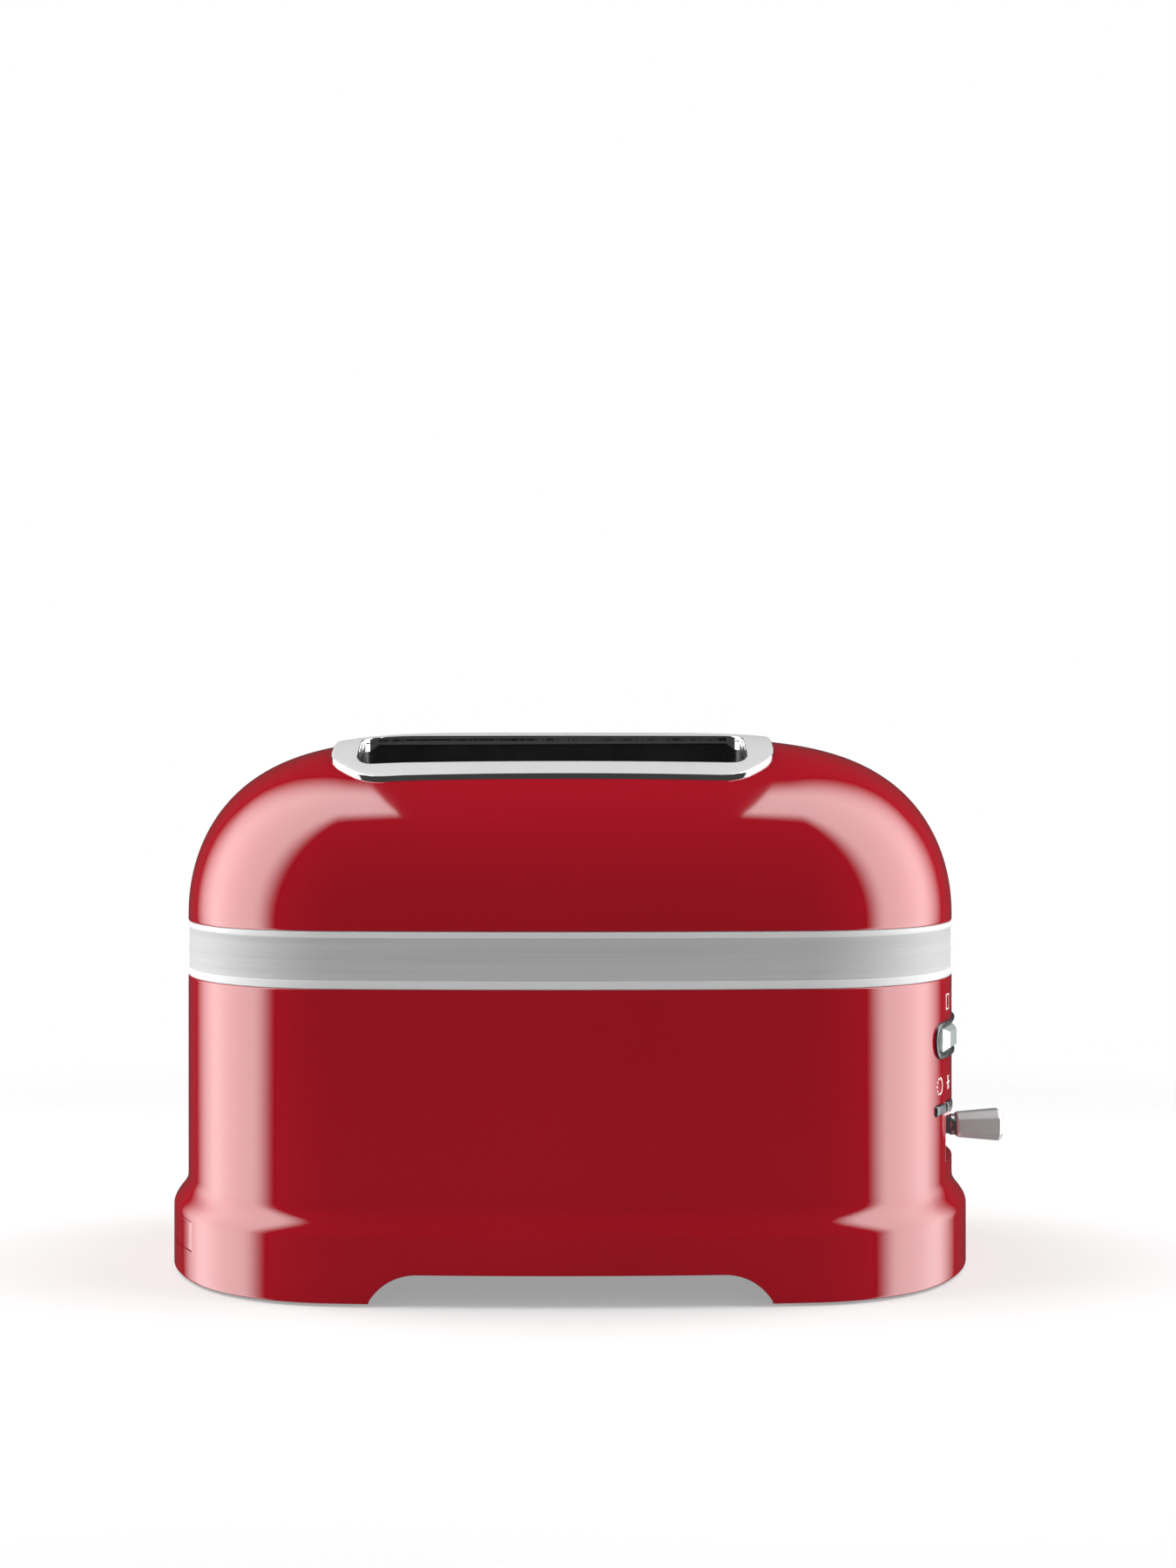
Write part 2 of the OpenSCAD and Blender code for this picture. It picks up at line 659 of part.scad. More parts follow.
module lever_arm() {
    bar_end = 152.4;
    color("#9DA0A4") translate([0, 0, lever_z]) difference() {
        union() {
            translate([pivot_x, 3.8, 0]) rotate([90, 0, 0]) cylinder(r = 5.2, h = 9.6);
            slab([pivot_x, bar_end], [-3.6, 3.6], [-3.2, 3.2]);
            slab([105, pivot_x], [-3, 3], [-2.4, 2.4]);
            translate([bar_end - eps, 0, 0]) rotate([0, 90, 0]) cylinder(r = 2.5, h = 14);
            translate([bar_end - eps, 0, 0]) rotate([0, 90, 0]) cylinder(r = 4.2, h = 1.4);
        }
        translate([pivot_x, 0, 0]) rotate([90, 0, 0]) cylinder(r = lever_r + 0.05, h = 40, center = true);
    }
}

// Eight-sided tapered knob
module lever_knob() {
    root_x = 154.2;
    root_r = 5.3;
    tip_r = 6.7;
    bevel = 1.6;
    color("#B9BBBE") translate([root_x, 0, lever_z]) rotate([0, 90, 0]) difference() {
        rotate([0, 0, 22.5]) union() {
            cylinder(r1 = root_r - 0.5, r2 = root_r, h = 0.8 + eps, $fn = 8);
            translate([0, 0, 0.8]) cylinder(r1 = root_r, r2 = tip_r, h = lever_tip - root_x - bevel - 0.8, $fn = 8);
            translate([0, 0, lever_tip - root_x - bevel - eps]) cylinder(r1 = tip_r, r2 = tip_r - 1.3, h = bevel + eps, $fn = 8);
        }
        translate([0, 0, -1]) cylinder(r = 2.55, h = 14.6);
    }
}

// Dished pocket with the slot that the lever moves in
module lever_recess() {
    z = [pocket[1] + 0.3, pocket[2] - 0.4];
    color("#8E0D1C") difference() {
        end_skin(-8, -0.3, z[0], z[1], pocket[0] - 0.3);
        end_skin(-5.8, 1, z[0] + 1.2, z[1] - 1.2, pocket[0] - 1.8);
        slab([120, 160], [-4.6, 4.6], [lever_z - 9.3, lever_z + 6.7]);
    }
}

// ---- browning slider --------------------------------------------------------------------

module slider_ring() {
    color("#5A5C60") translate([0, 0, slider_z]) {
        difference() {
            intersection() {
                end_skin(-wall, 1.1, -8, 8, 64);
                stadium_x(ring_out.x, ring_out.y, 100, 170);
            }
            difference() {
                end_skin(-wall - 1, 0.05, -8, 8, 64);
                stadium_x(ring_body.x, ring_body.y, 100, 170);
            }
            stadium_x(ring_in.x, ring_in.y, 100, 170);
        }
        // Floor with the slot that the stem runs in
        difference() {
            intersection() {
                end_skin(-wall, -1.2, -8, 8, 64);
                stadium_x(ring_body.x, ring_body.y, 100, 170);
            }
            stadium_x(44.5, 4, 100, 170);
        }
        // Tabs that hold the track
        for (s = [-1, 1]) scale([1, s, 1]) intersection() {
            end_skin(-10, -wall + eps, -4, 4, 64);
            slab([100, 170], [47, 49], [-4, 4]);
        }
    }
}

module slider_track() {
    color("#3A5A44") translate([0, 0, slider_z]) end_skin(-11.5, -10, -7, 7, 47.8);
}

// Knob, stem and wiper plate in one, swinging about the centre of the end arc
module slider_carrier() {
    color("#C6C8CB") translate([end_cx, 0, slider_z]) rotate([0, 0, slider_rest]) {
        intersection() {
            difference() {
                translate([0, 0, -6]) cylinder(r = end_r + 2.3, h = 12, $fn = 180);
                translate([0, 0, -7]) cylinder(r = end_r - 0.9, h = 14, $fn = 180);
            }
            hull() {
                slab([end_r - 3, end_r + 0.2], [-12.4, 12.4], [-4.4, 4.4]);
                slab([end_r - 3, end_r + 2.6], [-7.2, 7.2], [-3, 3]);
            }
        }
        slab([end_r - 7, end_r - 0.8], [-4, 4], [-1.5, 1.5]);
        // Wiper plate, bent to the arc it runs along
        intersection() {
            slab([end_r - 12, end_r], [-8, 8], [-5.5, 5.5]);
            difference() {
                translate([0, 0, -6]) cylinder(r = end_r - 4.6, h = 12, $fn = 180);
                translate([0, 0, -7]) cylinder(r = end_r - 9.4, h = 14, $fn = 180);
            }
        }
    }
}

// ---- buttons and electronics ------------------------------------------------------------

module button(y) {
    intersection() {
        end_skin(-4, 0.9, button_z - 1.8, button_z + 1.8, 60);
        slab([100, 170], [y - 5.2, y + 5.2], [0, 100]);
    }
    intersection() {
        end_skin(-5.2, -3.6, button_z - 3, button_z + 3, 60);
        slab([100, 170], [y - 6.1, y + 6.1], [0, 100]);
    }
    slab([128.6, 139.5], [y - 3.5, y + 3.5], [button_z - 1.4, button_z + 1.4]);
    intersection() {
        end_skin(-12, -5, button_z - 1.4, button_z + 1.4, 60);
        slab([130, 170], [y - 3.5, y + 3.5], [0, 100]);
    }
}
module button_1() { color("#77797C") button(button_y[0]); }
module button_2() { color("#77797C") button(button_y[1]); }
module button_3() { color("#77797C") button(button_y[2]); }
module button_4() { color("#77797C") button(button_y[3]); }

module control_frame() {
    x = [130.5, 133];
    color("#232326") difference() {
        union() {
            slab(x, [-55.5, 55.5], [floor_z, 80]);
            slab([122, x[1]], [-54, -44], [floor_z, floor_z + 2]);
            slab([122, x[1]], [44, 54], [floor_z, floor_z + 2]);
            for (y = [-42, 42], z = [70, 77]) translate([123.6, y + 0, z]) rotate([0, 90, 0])
                cylinder(r = 2, h = x[0] - 123.6 + eps);
        }
        for (y = button_y) slab([120, 140], [y - 3.9, y + 3.9], [button_z - 1.8, button_z + 1.8]);
        // Notches that clear the flanges of the outer buttons
        for (s = [-1, 1]) scale([1, s, 1]) slab([120, 140], [49, 56], [button_z - 3.3, button_z + 3.3]);
        slab([120, 140], [-6, 6], [lever_z - 8, lever_z + 7]);
        slab([120, 140], [-40, 40], [22, 38]);
        for (y = [-50, 50]) translate([127, y, 0]) cylinder(r = 1.5, h = 40);
    }
}

module control_board() {
    color("#1F5A3A") slab([122, 123.6], [-53, 53], [58, 112]);
    color("#202020") slab([123.6 - eps, 126], [-14, 14], [98, 108]);
    color("#202020") for (y = [-34, 32]) translate([123.6 - eps, y, 103]) rotate([0, 90, 0]) cylinder(r = 4, h = 4);
}

module tact_switches() {
    color("#2B2B2B") for (y = button_y) {
        slab([123.6, 127], [y - 3, y + 3], [button_z - 3, button_z + 3]);
        translate([127 - eps, y, button_z]) rotate([0, 90, 0]) cylinder(r = 1.6, h = 0.5);
    }
}

module power_board() {
    color("#1F5A3A") slab([-103.6, -102], [-45, 45], [38, 100]);
    color("#2F5FA8") slab([-119, -103.6 + eps], [-30, -12], [60, 80]);
    color("#222222") slab([-121, -103.6 + eps], [2, 34], [50, 82]);
}

module terminal_block() {
    color("#E6E4DE") difference() {
        slab([-106, -88], [66, 76], [floor_z, floor_z + 14]);
        for (i = [0:2]) translate([-103 + i * 6, 71, floor_z + 5]) cylinder(r = 1.8, h = 20);
    }
}

module strain_relief() {
    color("#18181A") translate([0, gland.x, gland.y]) rotate([0, -90, 0]) difference() {
        translate([0, 0, 128]) {
            cylinder(r = 8, h = 21);
            cylinder(r = 10, h = 1.5);
        }
        translate([0, 0, 120]) cylinder(r = 3.6, h = 40);
    }
}

// Tube of rings round a path, closed at both ends
module tube(path, r, sides = 8) {
    last = len(path) - 1;
    n = sides;
    rings = [for (i = [0:last])
        let (v = path[min(i + 1, last)] - path[max(i - 1, 0)], t = v / norm(v),
            c = cross(t, [0, 0, 1]), s = c / norm(c), u = cross(s, t))
        [for (k = [0:n - 1]) path[i] + r * (cos(360 * k / n) * s + sin(360 * k / n) * u)]];
    polyhedron(points = [for (g = rings) each g],
        faces = concat([[for (k = [0:n - 1]) k]], [[for (k = [n - 1:-1:0]) last * n + k]],
            [for (i = [0:last - 1], k = [0:n - 1]) let (m = (k + 1) % n)
                each [[i * n + k, (i + 1) * n + k, (i + 1) * n + m], [i * n + k, (i + 1) * n + m, i * n + m]]]));
}

// Three leads from the power board to the control board, above the tie screw bosses
module wiring_loom() {
    color("#B33A2E") for (i = [0:2]) {
        z = 56 + 3 * i;
        tube([[-100.98, 44.2, z], [-100.6, 50, z], [-98, 61, z], [-90, 67, z], [98, 67, z], [106, 65, z + 2],
            [112, 58, z + 5], [116, 50, z + 6], [121.24, 44.2, z + 6]], 1);
    }
}

// Slices of the end face that carry the printed signs
module icon(y, z) {
    intersection() {
        end_skin(0.02, 0.16, z - 8, z + 8, 60);
        translate([100, y, z]) rotate([90, 0, 90]) linear_extrude(80) children();
    }
}

module function_icons() {
    color("#F2F2F2") {
        // Frozen bread: three crossed strokes
        icon(button_y[1], button_z + 9) for (t = [0:60:120]) rotate(t) square([6, 0.7], center = true);
        // Half round roll with its heat dots
        icon(button_y[0], button_z + 9) {
            difference() {
                circle(3.4);
                circle(2.7);
                translate([-4, -4]) square([4, 8]);
            }
            for (k = [-2:2]) rotate(180 + k * 32) translate([3.1, 0]) circle(0.42, $fn = 16);
        }
        // Closed sandwich: two bars
        icon(button_y[2], button_z + 9) for (v = [-1.6, 1.6]) translate([0, v]) square([6, 1.2], center = true);
        // Keep warm: three rising strokes
        icon(button_y[3], button_z + 9) for (u = [-2, 0, 2]) translate([u, 0]) square([0.7, 5], center = true);
        // Browning scale: slices that grow darker
        for (k = [-2:2]) icon(k * 18.5, slider_z + 14) difference() {
            square([6, 6], center = true);
            square(5.2 - 0.8 * (k + 2), center = true);
        }
    }
}

module placed() { translate([shift_x, 0, 0]) children(); }

placed() lower_shell();
placed() upper_shell();
placed() band();
placed() bezel();
placed() slot_liner_front();
placed() slot_liner_rear();
placed() slider_ring();
placed() slider_track();
placed() lever_recess();
placed() function_icons();
placed() base_plate();
placed() rubber_feet();
placed() tie_screws();
placed() chassis_screws();
placed() oven_plate_control();
placed() oven_plate_cord();
placed() reflector_front();
placed() reflector_rear();
placed() centre_reflector();
placed() heater_board_front_outer();
placed() heater_board_front_inner();
placed() heater_board_rear_inner();
placed() heater_board_rear_outer();
placed() heating_ribbon_front_outer();
placed() heating_ribbon_front_inner();
placed() heating_ribbon_rear_inner();
placed() heating_ribbon_rear_outer();
placed() guide_rods();
placed() rod_bridge();
placed() motor_bracket();
placed() gear_motor();
placed() lever_bracket();
placed() lever_pin();
placed() lever_spring();
placed() lever_switch();
placed() control_frame();
placed() control_board();
placed() tact_switches();
placed() crumb_tray();
placed() power_board();
placed() terminal_block();
placed() strain_relief();
placed() wiring_loom();
placed() carriage_front();
placed() carriage_rear();
placed() lift_bracket();
placed() guide_bushes();
placed() lift_rack();
placed() pinion();
placed() guard_front_outer();
placed() guard_front_inner();
placed() guard_rear_inner();
placed() guard_rear_outer();
placed() lever_arm();
placed() lever_knob();
placed() slider_carrier();
placed() button_1();
placed() button_2();
placed() button_3();
placed() button_4();
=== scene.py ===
"""Looks of the pop up toaster, built round its CAD frame. Metres, +Z up, +X towards the control end."""

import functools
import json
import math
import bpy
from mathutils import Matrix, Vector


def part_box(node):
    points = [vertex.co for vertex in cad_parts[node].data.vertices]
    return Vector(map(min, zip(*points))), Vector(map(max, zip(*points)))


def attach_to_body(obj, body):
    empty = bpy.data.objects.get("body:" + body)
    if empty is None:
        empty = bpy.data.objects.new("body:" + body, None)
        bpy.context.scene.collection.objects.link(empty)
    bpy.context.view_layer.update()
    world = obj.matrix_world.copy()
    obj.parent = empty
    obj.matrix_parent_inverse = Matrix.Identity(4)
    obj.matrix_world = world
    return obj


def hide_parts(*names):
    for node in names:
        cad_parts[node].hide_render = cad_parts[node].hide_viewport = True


bl_info = {
    "name": "Pop Up Toaster",
    "version": (1, 0, 0),
    "blender": (4, 5, 0),
    "location": "View3D > Sidebar > Toaster",
    "description": "Builds the visible pieces, finishes and studio of a two-slot toaster",
    "category": "Object",
}

import bmesh
import bpy
import numpy as np
from mathutils import Vector

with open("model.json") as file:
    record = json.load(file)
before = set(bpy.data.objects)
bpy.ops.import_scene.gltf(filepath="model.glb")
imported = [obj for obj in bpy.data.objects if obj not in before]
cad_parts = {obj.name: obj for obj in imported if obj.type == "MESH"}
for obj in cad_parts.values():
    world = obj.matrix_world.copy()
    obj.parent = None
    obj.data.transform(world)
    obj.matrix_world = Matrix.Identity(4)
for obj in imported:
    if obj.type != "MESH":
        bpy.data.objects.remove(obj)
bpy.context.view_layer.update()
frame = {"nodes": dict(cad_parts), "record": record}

MM = 0.001
ROUND = 48  # points of a turned ring


def middle(node):
    """Middle of a CAD node's box."""
    low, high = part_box(node)
    return (low + high) / 2


def span(node):
    """Lengths of a CAD node's box."""
    low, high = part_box(node)
    return high - low


# ---- sizes and colours that a user would change -------------------------------------------


def length(name, description, default):
    return bpy.props.FloatProperty(
        name=name, description=description, default=default, min=0.0, unit="LENGTH"
    )


def colour(name, description, default):
    return bpy.props.FloatVectorProperty(
        name=name, description=description, default=default, min=0.0, max=1.0, size=3, subtype="COLOR"
    )


class ToasterShape(bpy.types.PropertyGroup):
    half_length: length("Half length", "Half length of the body at the band", span("band").x / 2)
    half_width: length("Half width", "Half width of the body at the band", span("band").y / 2)
    end_radius: length("End radius", "Plan radius of the end faces", 0.114)
    side_radius: length("Side radius", "Plan radius of the long sides", 0.92)
    corner_radius: length("Corner radius", "Plan radius of the corners", 0.0635)
    dome_start: length("Dome start", "Height at which the dome starts to curve", 0.138)
    dome_rise: length("Dome rise", "Height of the dome above its start", 0.069)
    end_depth: length("End depth", "Depth of the rounded end that the dome keeps in proportion", 0.095)
    wall: length("Wall", "Thickness of the castings", 0.0025)
    flare: length("Flare", "How far the base stands out from the body", 0.0055)
    skirt_top: length("Skirt top", "Top of the upright part of the base", 0.024)
    arch_half: length("Arch half width", "Half width of the arch at its foot", 0.0724)
    arch_height: length("Arch height", "Height of the flat top of the arch", 0.0116)
    arch_radius: length("Arch radius", "Radius of the arch corners", 0.020)
    bezel_rise: length("Bezel rise", "How far the bezel stands above the dome", 0.002)
    slot_width: length("Slot width", "Width of a bread slot", 0.032)
    slot_near: length("Slot offset", "Distance from the middle plane to a slot", 0.022)


class ToasterColours(bpy.types.PropertyGroup):
    enamel: colour("Enamel", "Candy enamel of the shells", (0.38, 0.0034, 0.013))
    enamel_deep: colour("Deep enamel", "Enamel where the coat lies thicker", (0.36, 0.0032, 0.012))
    band: colour("Band", "Brushed middle of the band", (0.45, 0.452, 0.454))
    chrome: colour("Chrome", "Polished chrome", (0.86, 0.865, 0.87))
    grey_metal: colour("Grey metal", "Buttons and slider surround", (0.20, 0.21, 0.22))


class ToasterStudio(bpy.types.PropertyGroup):
    panel_strength: bpy.props.FloatProperty(
        name="Panel strength", description="Brightness of the two side panels", default=3.6, min=0.0
    )
    panel_distance: length("Panel distance", "Distance of the side panels from the toaster", 0.68)
    fill_strength: bpy.props.FloatProperty(
        name="Fill strength", description="Brightness of the card behind the lens", default=0.55, min=0.0
    )
    lens: bpy.props.FloatProperty(
        name="Lens", description="Focal length in millimetres", default=53.68, min=10.0
    )
    camera_distance: length("Camera distance", "Distance of the camera from the middle plane", 0.9376)
    camera_height: length("Camera height", "Height of the lens above the table", 0.18845)


# ---- shader building ----------------------------------------------------------------------


class Wire:
    """A node's output that adds a Math node when it is used in a product of values."""

    def __init__(self, finish, socket):
        self.finish = finish
        self.socket = socket

    def __mul__(self, other):
        return self.finish.node("ShaderNodeMath", {"operation": "MULTIPLY"}, {0: self, 1: other})

    __rmul__ = __mul__


class Finish:
    """A material under construction."""

    def __init__(self, name):
        self.material = bpy.data.materials.new(name)
        self.material.use_nodes = True
        self.tree = self.material.node_tree
        self.tree.nodes.clear()
        self.surface = self.add("ShaderNodeBsdfPrincipled")
        output = self.add("ShaderNodeOutputMaterial")
        self.tree.links.new(self.surface.outputs[0], output.inputs["Surface"])

    def add(self, kind, settings=None, inputs=None):
        """Adds a node: its settings first, then the values or links of its sockets."""
        made = self.tree.nodes.new(kind)
        for key, value in (settings or {}).items():
            setattr(made, key, value)
        self.feed(made, inputs or {})
        return made

    def feed(self, made, inputs):
        for key, value in inputs.items():
            socket = made.inputs[key]
            if isinstance(value, Wire):
                self.tree.links.new(value.socket, socket)
            elif socket.type == "RGBA":
                socket.default_value = (*value[:3], 1.0)
            else:
                socket.default_value = value

    def node(self, kind, settings=None, inputs=None, output=0):
        return Wire(self, self.add(kind, settings, inputs).outputs[output])

    def set(self, **inputs):
        """Feeds the surface shader; a name's underscores stand for spaces."""
        self.feed(self.surface, {key.replace("_", " "): value for key, value in inputs.items()})

    def place(self, stretch=(1.0, 1.0, 1.0), source="Object"):
        """Coordinates of the piece, stretched along each axis."""
        where = self.node("ShaderNodeTexCoord", output=source)
        return self.node("ShaderNodeVectorMath", {"operation": "MULTIPLY"}, {0: where, 1: Vector(stretch)})

    def noise(self, where, scale, detail=3.0, rough=0.5):
        inputs = {"Vector": where, "Scale": scale, "Detail": detail, "Roughness": rough}
        return self.node("ShaderNodeTexNoise", None, inputs)

    def between(self, share, low, high):
        """A value that runs from low to high as share runs from 0.35 to 0.65, the usual spread of noise."""
        inputs = {"Value": share, "From Min": 0.35, "From Max": 0.65, "To Min": low, "To Max": high}
        return self.node("ShaderNodeMapRange", None, inputs)

    def fade(self, value, dark, bright):
        """A value that rises softly from 0 at dark to 1 at bright."""
        inputs = {"Value": value, "From Min": dark, "From Max": bright, "To Min": 0.0, "To Max": 1.0}
        return self.node("ShaderNodeMapRange", {"interpolation_type": "SMOOTHSTEP"}, inputs)

    def mix_colour(self, share, one, other):
        return self.node("ShaderNodeMix", {"data_type": "RGBA"}, {0: share, 6: one, 7: other}, output=2)

    def two_tone(self, cloud, one, other):
        """Two colours shared out by a noise."""
        return self.mix_colour(self.between(cloud, 0.0, 1.0), one, other)

    def bump(self, height, strength, depth=0.1 * MM):
        return self.node("ShaderNodeBump", None, {"Height": height, "Strength": strength, "Distance": depth})

    def worn(self, cloud, tones, grain, rough, relief, **rest):
        """Two tones shared out by one noise, with the roughness and the bump led by another."""
        self.set(
            Base_Color=self.two_tone(cloud, *tones),
            Roughness=self.between(grain, *rough),
            Normal=self.bump(grain, *relief),
            **rest,
        )


FINISHES = {}


def finish(make):
    """Lists a finish under its own name; its one material is made the first time it is asked for."""

    @functools.cache
    def once():
        made = Finish(make.__name__)
        make(made)
        return made.material

    FINISHES[make.__name__] = once
    return once


@finish
def red_enamel(m):
    tones = bpy.context.scene.toaster_colours
    where = m.place()
    cloud = m.noise(where, 9.0, 2.0)
    flake = m.noise(where, 2600.0, 1.0)
    peel = m.noise(where, 420.0, 2.0)
    m.set(
        Base_Color=m.two_tone(cloud, tones.enamel, tones.enamel_deep),
        Roughness=m.between(flake, 0.50, 0.56),
        Specular_IOR_Level=0.0,
        Coat_Weight=1.0,
        Coat_Roughness=0.05,
        Coat_IOR=1.9,
        Normal=m.bump(peel, 0.05, 0.2 * MM),
    )


@finish
def chrome(m):
    where = m.place()
    m.set(
        Base_Color=tuple(bpy.context.scene.toaster_colours.chrome),
        Metallic=1.0,
        Roughness=m.between(m.noise(where, 35.0), 0.03, 0.08),
        Normal=m.bump(m.noise(where, 900.0, 2.0), 0.02),
    )


@finish
def satin_chrome(m):
    where = m.place()
    m.set(
        Base_Color=(0.66, 0.662, 0.665),
        Metallic=0.2,
        Roughness=m.between(m.noise(where, 30.0), 0.34, 0.40),
        Normal=m.bump(m.noise(where, 1400.0, 2.0), 0.03),
    )


@finish
def brushed_band(m):
    tone = bpy.context.scene.toaster_colours.band
    strokes = m.noise(m.place((9.0, 2600.0, 1.0), "UV"), 1.0, 4.0, 0.65)
    broad = m.noise(m.place((4.0, 260.0, 1.0), "UV"), 1.0, 2.0)
    grain = m.two_tone(strokes, tone, [0.88 * c for c in tone])
    m.set(
        Base_Color=m.mix_colour(m.between(broad, 0.0, 0.35), grain, [1.12 * c for c in tone]),
        Specular_IOR_Level=0.2,
        Roughness=m.between(strokes, 0.50, 0.60),
        Normal=m.bump(strokes, 0.08),
    )


@finish
def polished_border(m):
    strokes = m.noise(m.place((9.0, 900.0, 1.0), "UV"), 1.0)
    m.set(
        Base_Color=(0.62, 0.622, 0.625),
        Specular_IOR_Level=0.2,
        Roughness=m.between(strokes, 0.42, 0.48),
        Normal=m.bump(strokes, 0.01),
    )


@finish
def lever_metal(m):
    strokes = m.noise(m.place((1.0, 14.0, 14.0)), 90.0)
    m.set(
        Base_Color=(0.72, 0.77, 0.77),
        Metallic=0.5,
        Roughness=m.between(strokes, 0.22, 0.25),
        Normal=m.bump(strokes, 0.002),
    )


@finish
def dark_metal(m):
    fine = m.noise(m.place(), 1200.0, 2.0)
    cloud = m.noise(m.place(), 60.0, 2.0)
    m.worn(cloud, ((0.17, 0.175, 0.18), (0.13, 0.135, 0.14)), fine, (0.24, 0.32), (0.04,), Metallic=0.9)


@finish
def grey_metal(m):
    tone = bpy.context.scene.toaster_colours.grey_metal
    fine = m.noise(m.place(), 1500.0, 2.0)
    m.worn(fine, (tone, [0.85 * c for c in tone]), fine, (0.26, 0.34), (0.04,), Metallic=0.9)


@finish
def black_liner(m):
    haze = m.noise(m.place(), 50.0)
    scuff = m.noise(m.place((1.0, 1.0, 9.0)), 240.0)
    tones = (0.010, 0.010, 0.011), (0.018, 0.018, 0.018)
    m.worn(haze, tones, scuff, (0.16, 0.30), (0.04,), Coat_Weight=0.4, Coat_Roughness=0.1)


@finish
def white_print(m):
    fine = m.noise(m.place(), 3000.0, 2.0)
    m.worn(fine, ((0.86, 0.86, 0.86), (0.78, 0.78, 0.78)), fine, (0.4, 0.5), (0.05, 0.05 * MM))


@finish
def black_plastic(m):
    grain = m.noise(m.place(), 1800.0)
    haze = m.noise(m.place(), 25.0, 2.0)
    m.worn(haze, ((0.016, 0.016, 0.017), (0.026, 0.026, 0.027)), grain, (0.46, 0.6), (0.25, 0.2 * MM))


@finish
def rubber(m):
    grain = m.noise(m.place(), 1100.0, 4.0)
    dust = m.noise(m.place(), 70.0)
    m.worn(dust, ((0.014, 0.014, 0.014), (0.030, 0.029, 0.028)), grain, (0.68, 0.85), (0.3, 0.2 * MM))


@finish
def steel_zinc(m):
    spangle = m.noise(m.place(), 160.0, 2.0)
    m.set(
        Base_Color=m.two_tone(spangle, (0.46, 0.47, 0.49), (0.36, 0.37, 0.39)),
        Metallic=0.95,
        Roughness=m.between(spangle, 0.26, 0.42),
        Normal=m.bump(m.noise(m.place(), 1600.0, 2.0), 0.06),
    )


@finish
def steel_sheet(m):
    roll = m.noise(m.place((1.0, 1.0, 12.0)), 55.0)
    heat = m.noise(m.place(), 12.0)
    m.worn(heat, ((0.42, 0.42, 0.42), (0.30, 0.27, 0.23)), roll, (0.30, 0.45), (0.06,), Metallic=0.9)


@finish
def mica(m):
    flakes = m.noise(m.place(), 300.0, 4.0)
    m.worn(flakes, ((0.34, 0.25, 0.14), (0.22, 0.16, 0.09)), flakes, (0.35, 0.6), (0.2, 0.2 * MM))


@finish
def resistance_ribbon(m):
    scale = m.noise(m.place(), 900.0)
    m.worn(scale, ((0.16, 0.15, 0.14), (0.09, 0.08, 0.075)), scale, (0.45, 0.6), (0.1,), Metallic=0.8)


@finish
def wire_steel(m):
    heat = m.noise(m.place(), 25.0)
    fine = m.noise(m.place(), 1500.0, 2.0)
    m.worn(heat, ((0.50, 0.50, 0.50), (0.36, 0.31, 0.24)), fine, (0.2, 0.32), (0.04,), Metallic=1.0)


@finish
def motor_metal(m):
    swirl = m.noise(m.place((18.0, 1.0, 1.0)), 60.0)
    m.worn(swirl, ((0.34, 0.35, 0.36), (0.26, 0.27, 0.28)), swirl, (0.3, 0.4), (0.05,), Metallic=0.95)


@finish
def brass(m):
    tarnish = m.noise(m.place(), 120.0)
    m.worn(tarnish, ((0.62, 0.42, 0.16), (0.42, 0.26, 0.10)), tarnish, (0.22, 0.36), (0.04,), Metallic=1.0)


@finish
def nylon(m):
    milk = m.noise(m.place(), 150.0, 2.0)
    tones = (0.76, 0.74, 0.69), (0.70, 0.68, 0.62)
    soft = {"Subsurface_Weight": 0.1, "Subsurface_Scale": 2 * MM}
    m.worn(milk, tones, milk, (0.38, 0.5), (0.05, 0.2 * MM), **soft)


@finish
def circuit_board(m):
    tracks = m.noise(m.place((1.0, 0.25, 1.0)), 260.0, 0.0)
    m.set(
        Base_Color=m.two_tone(tracks, (0.010, 0.085, 0.035), (0.018, 0.13, 0.055)),
        Roughness=m.between(m.noise(m.place(), 1400.0, 2.0), 0.26, 0.36),
        Normal=m.bump(tracks, 0.15),
    )


@finish
def lead_insulation(m):
    soft = m.noise(m.place(), 500.0, 2.0)
    m.worn(soft, ((0.42, 0.035, 0.02), (0.34, 0.025, 0.015)), soft, (0.35, 0.48), (0.06,))


SLOT_OF = {entry["node"]: entry["material_slot"] for entry in frame["record"]["subparts"]}
BODY_OF = {node: body for body, nodes in frame["record"]["behaviour"]["bodies"].items() for node in nodes}


# ---- plan and dome ------------------------------------------------------------------------


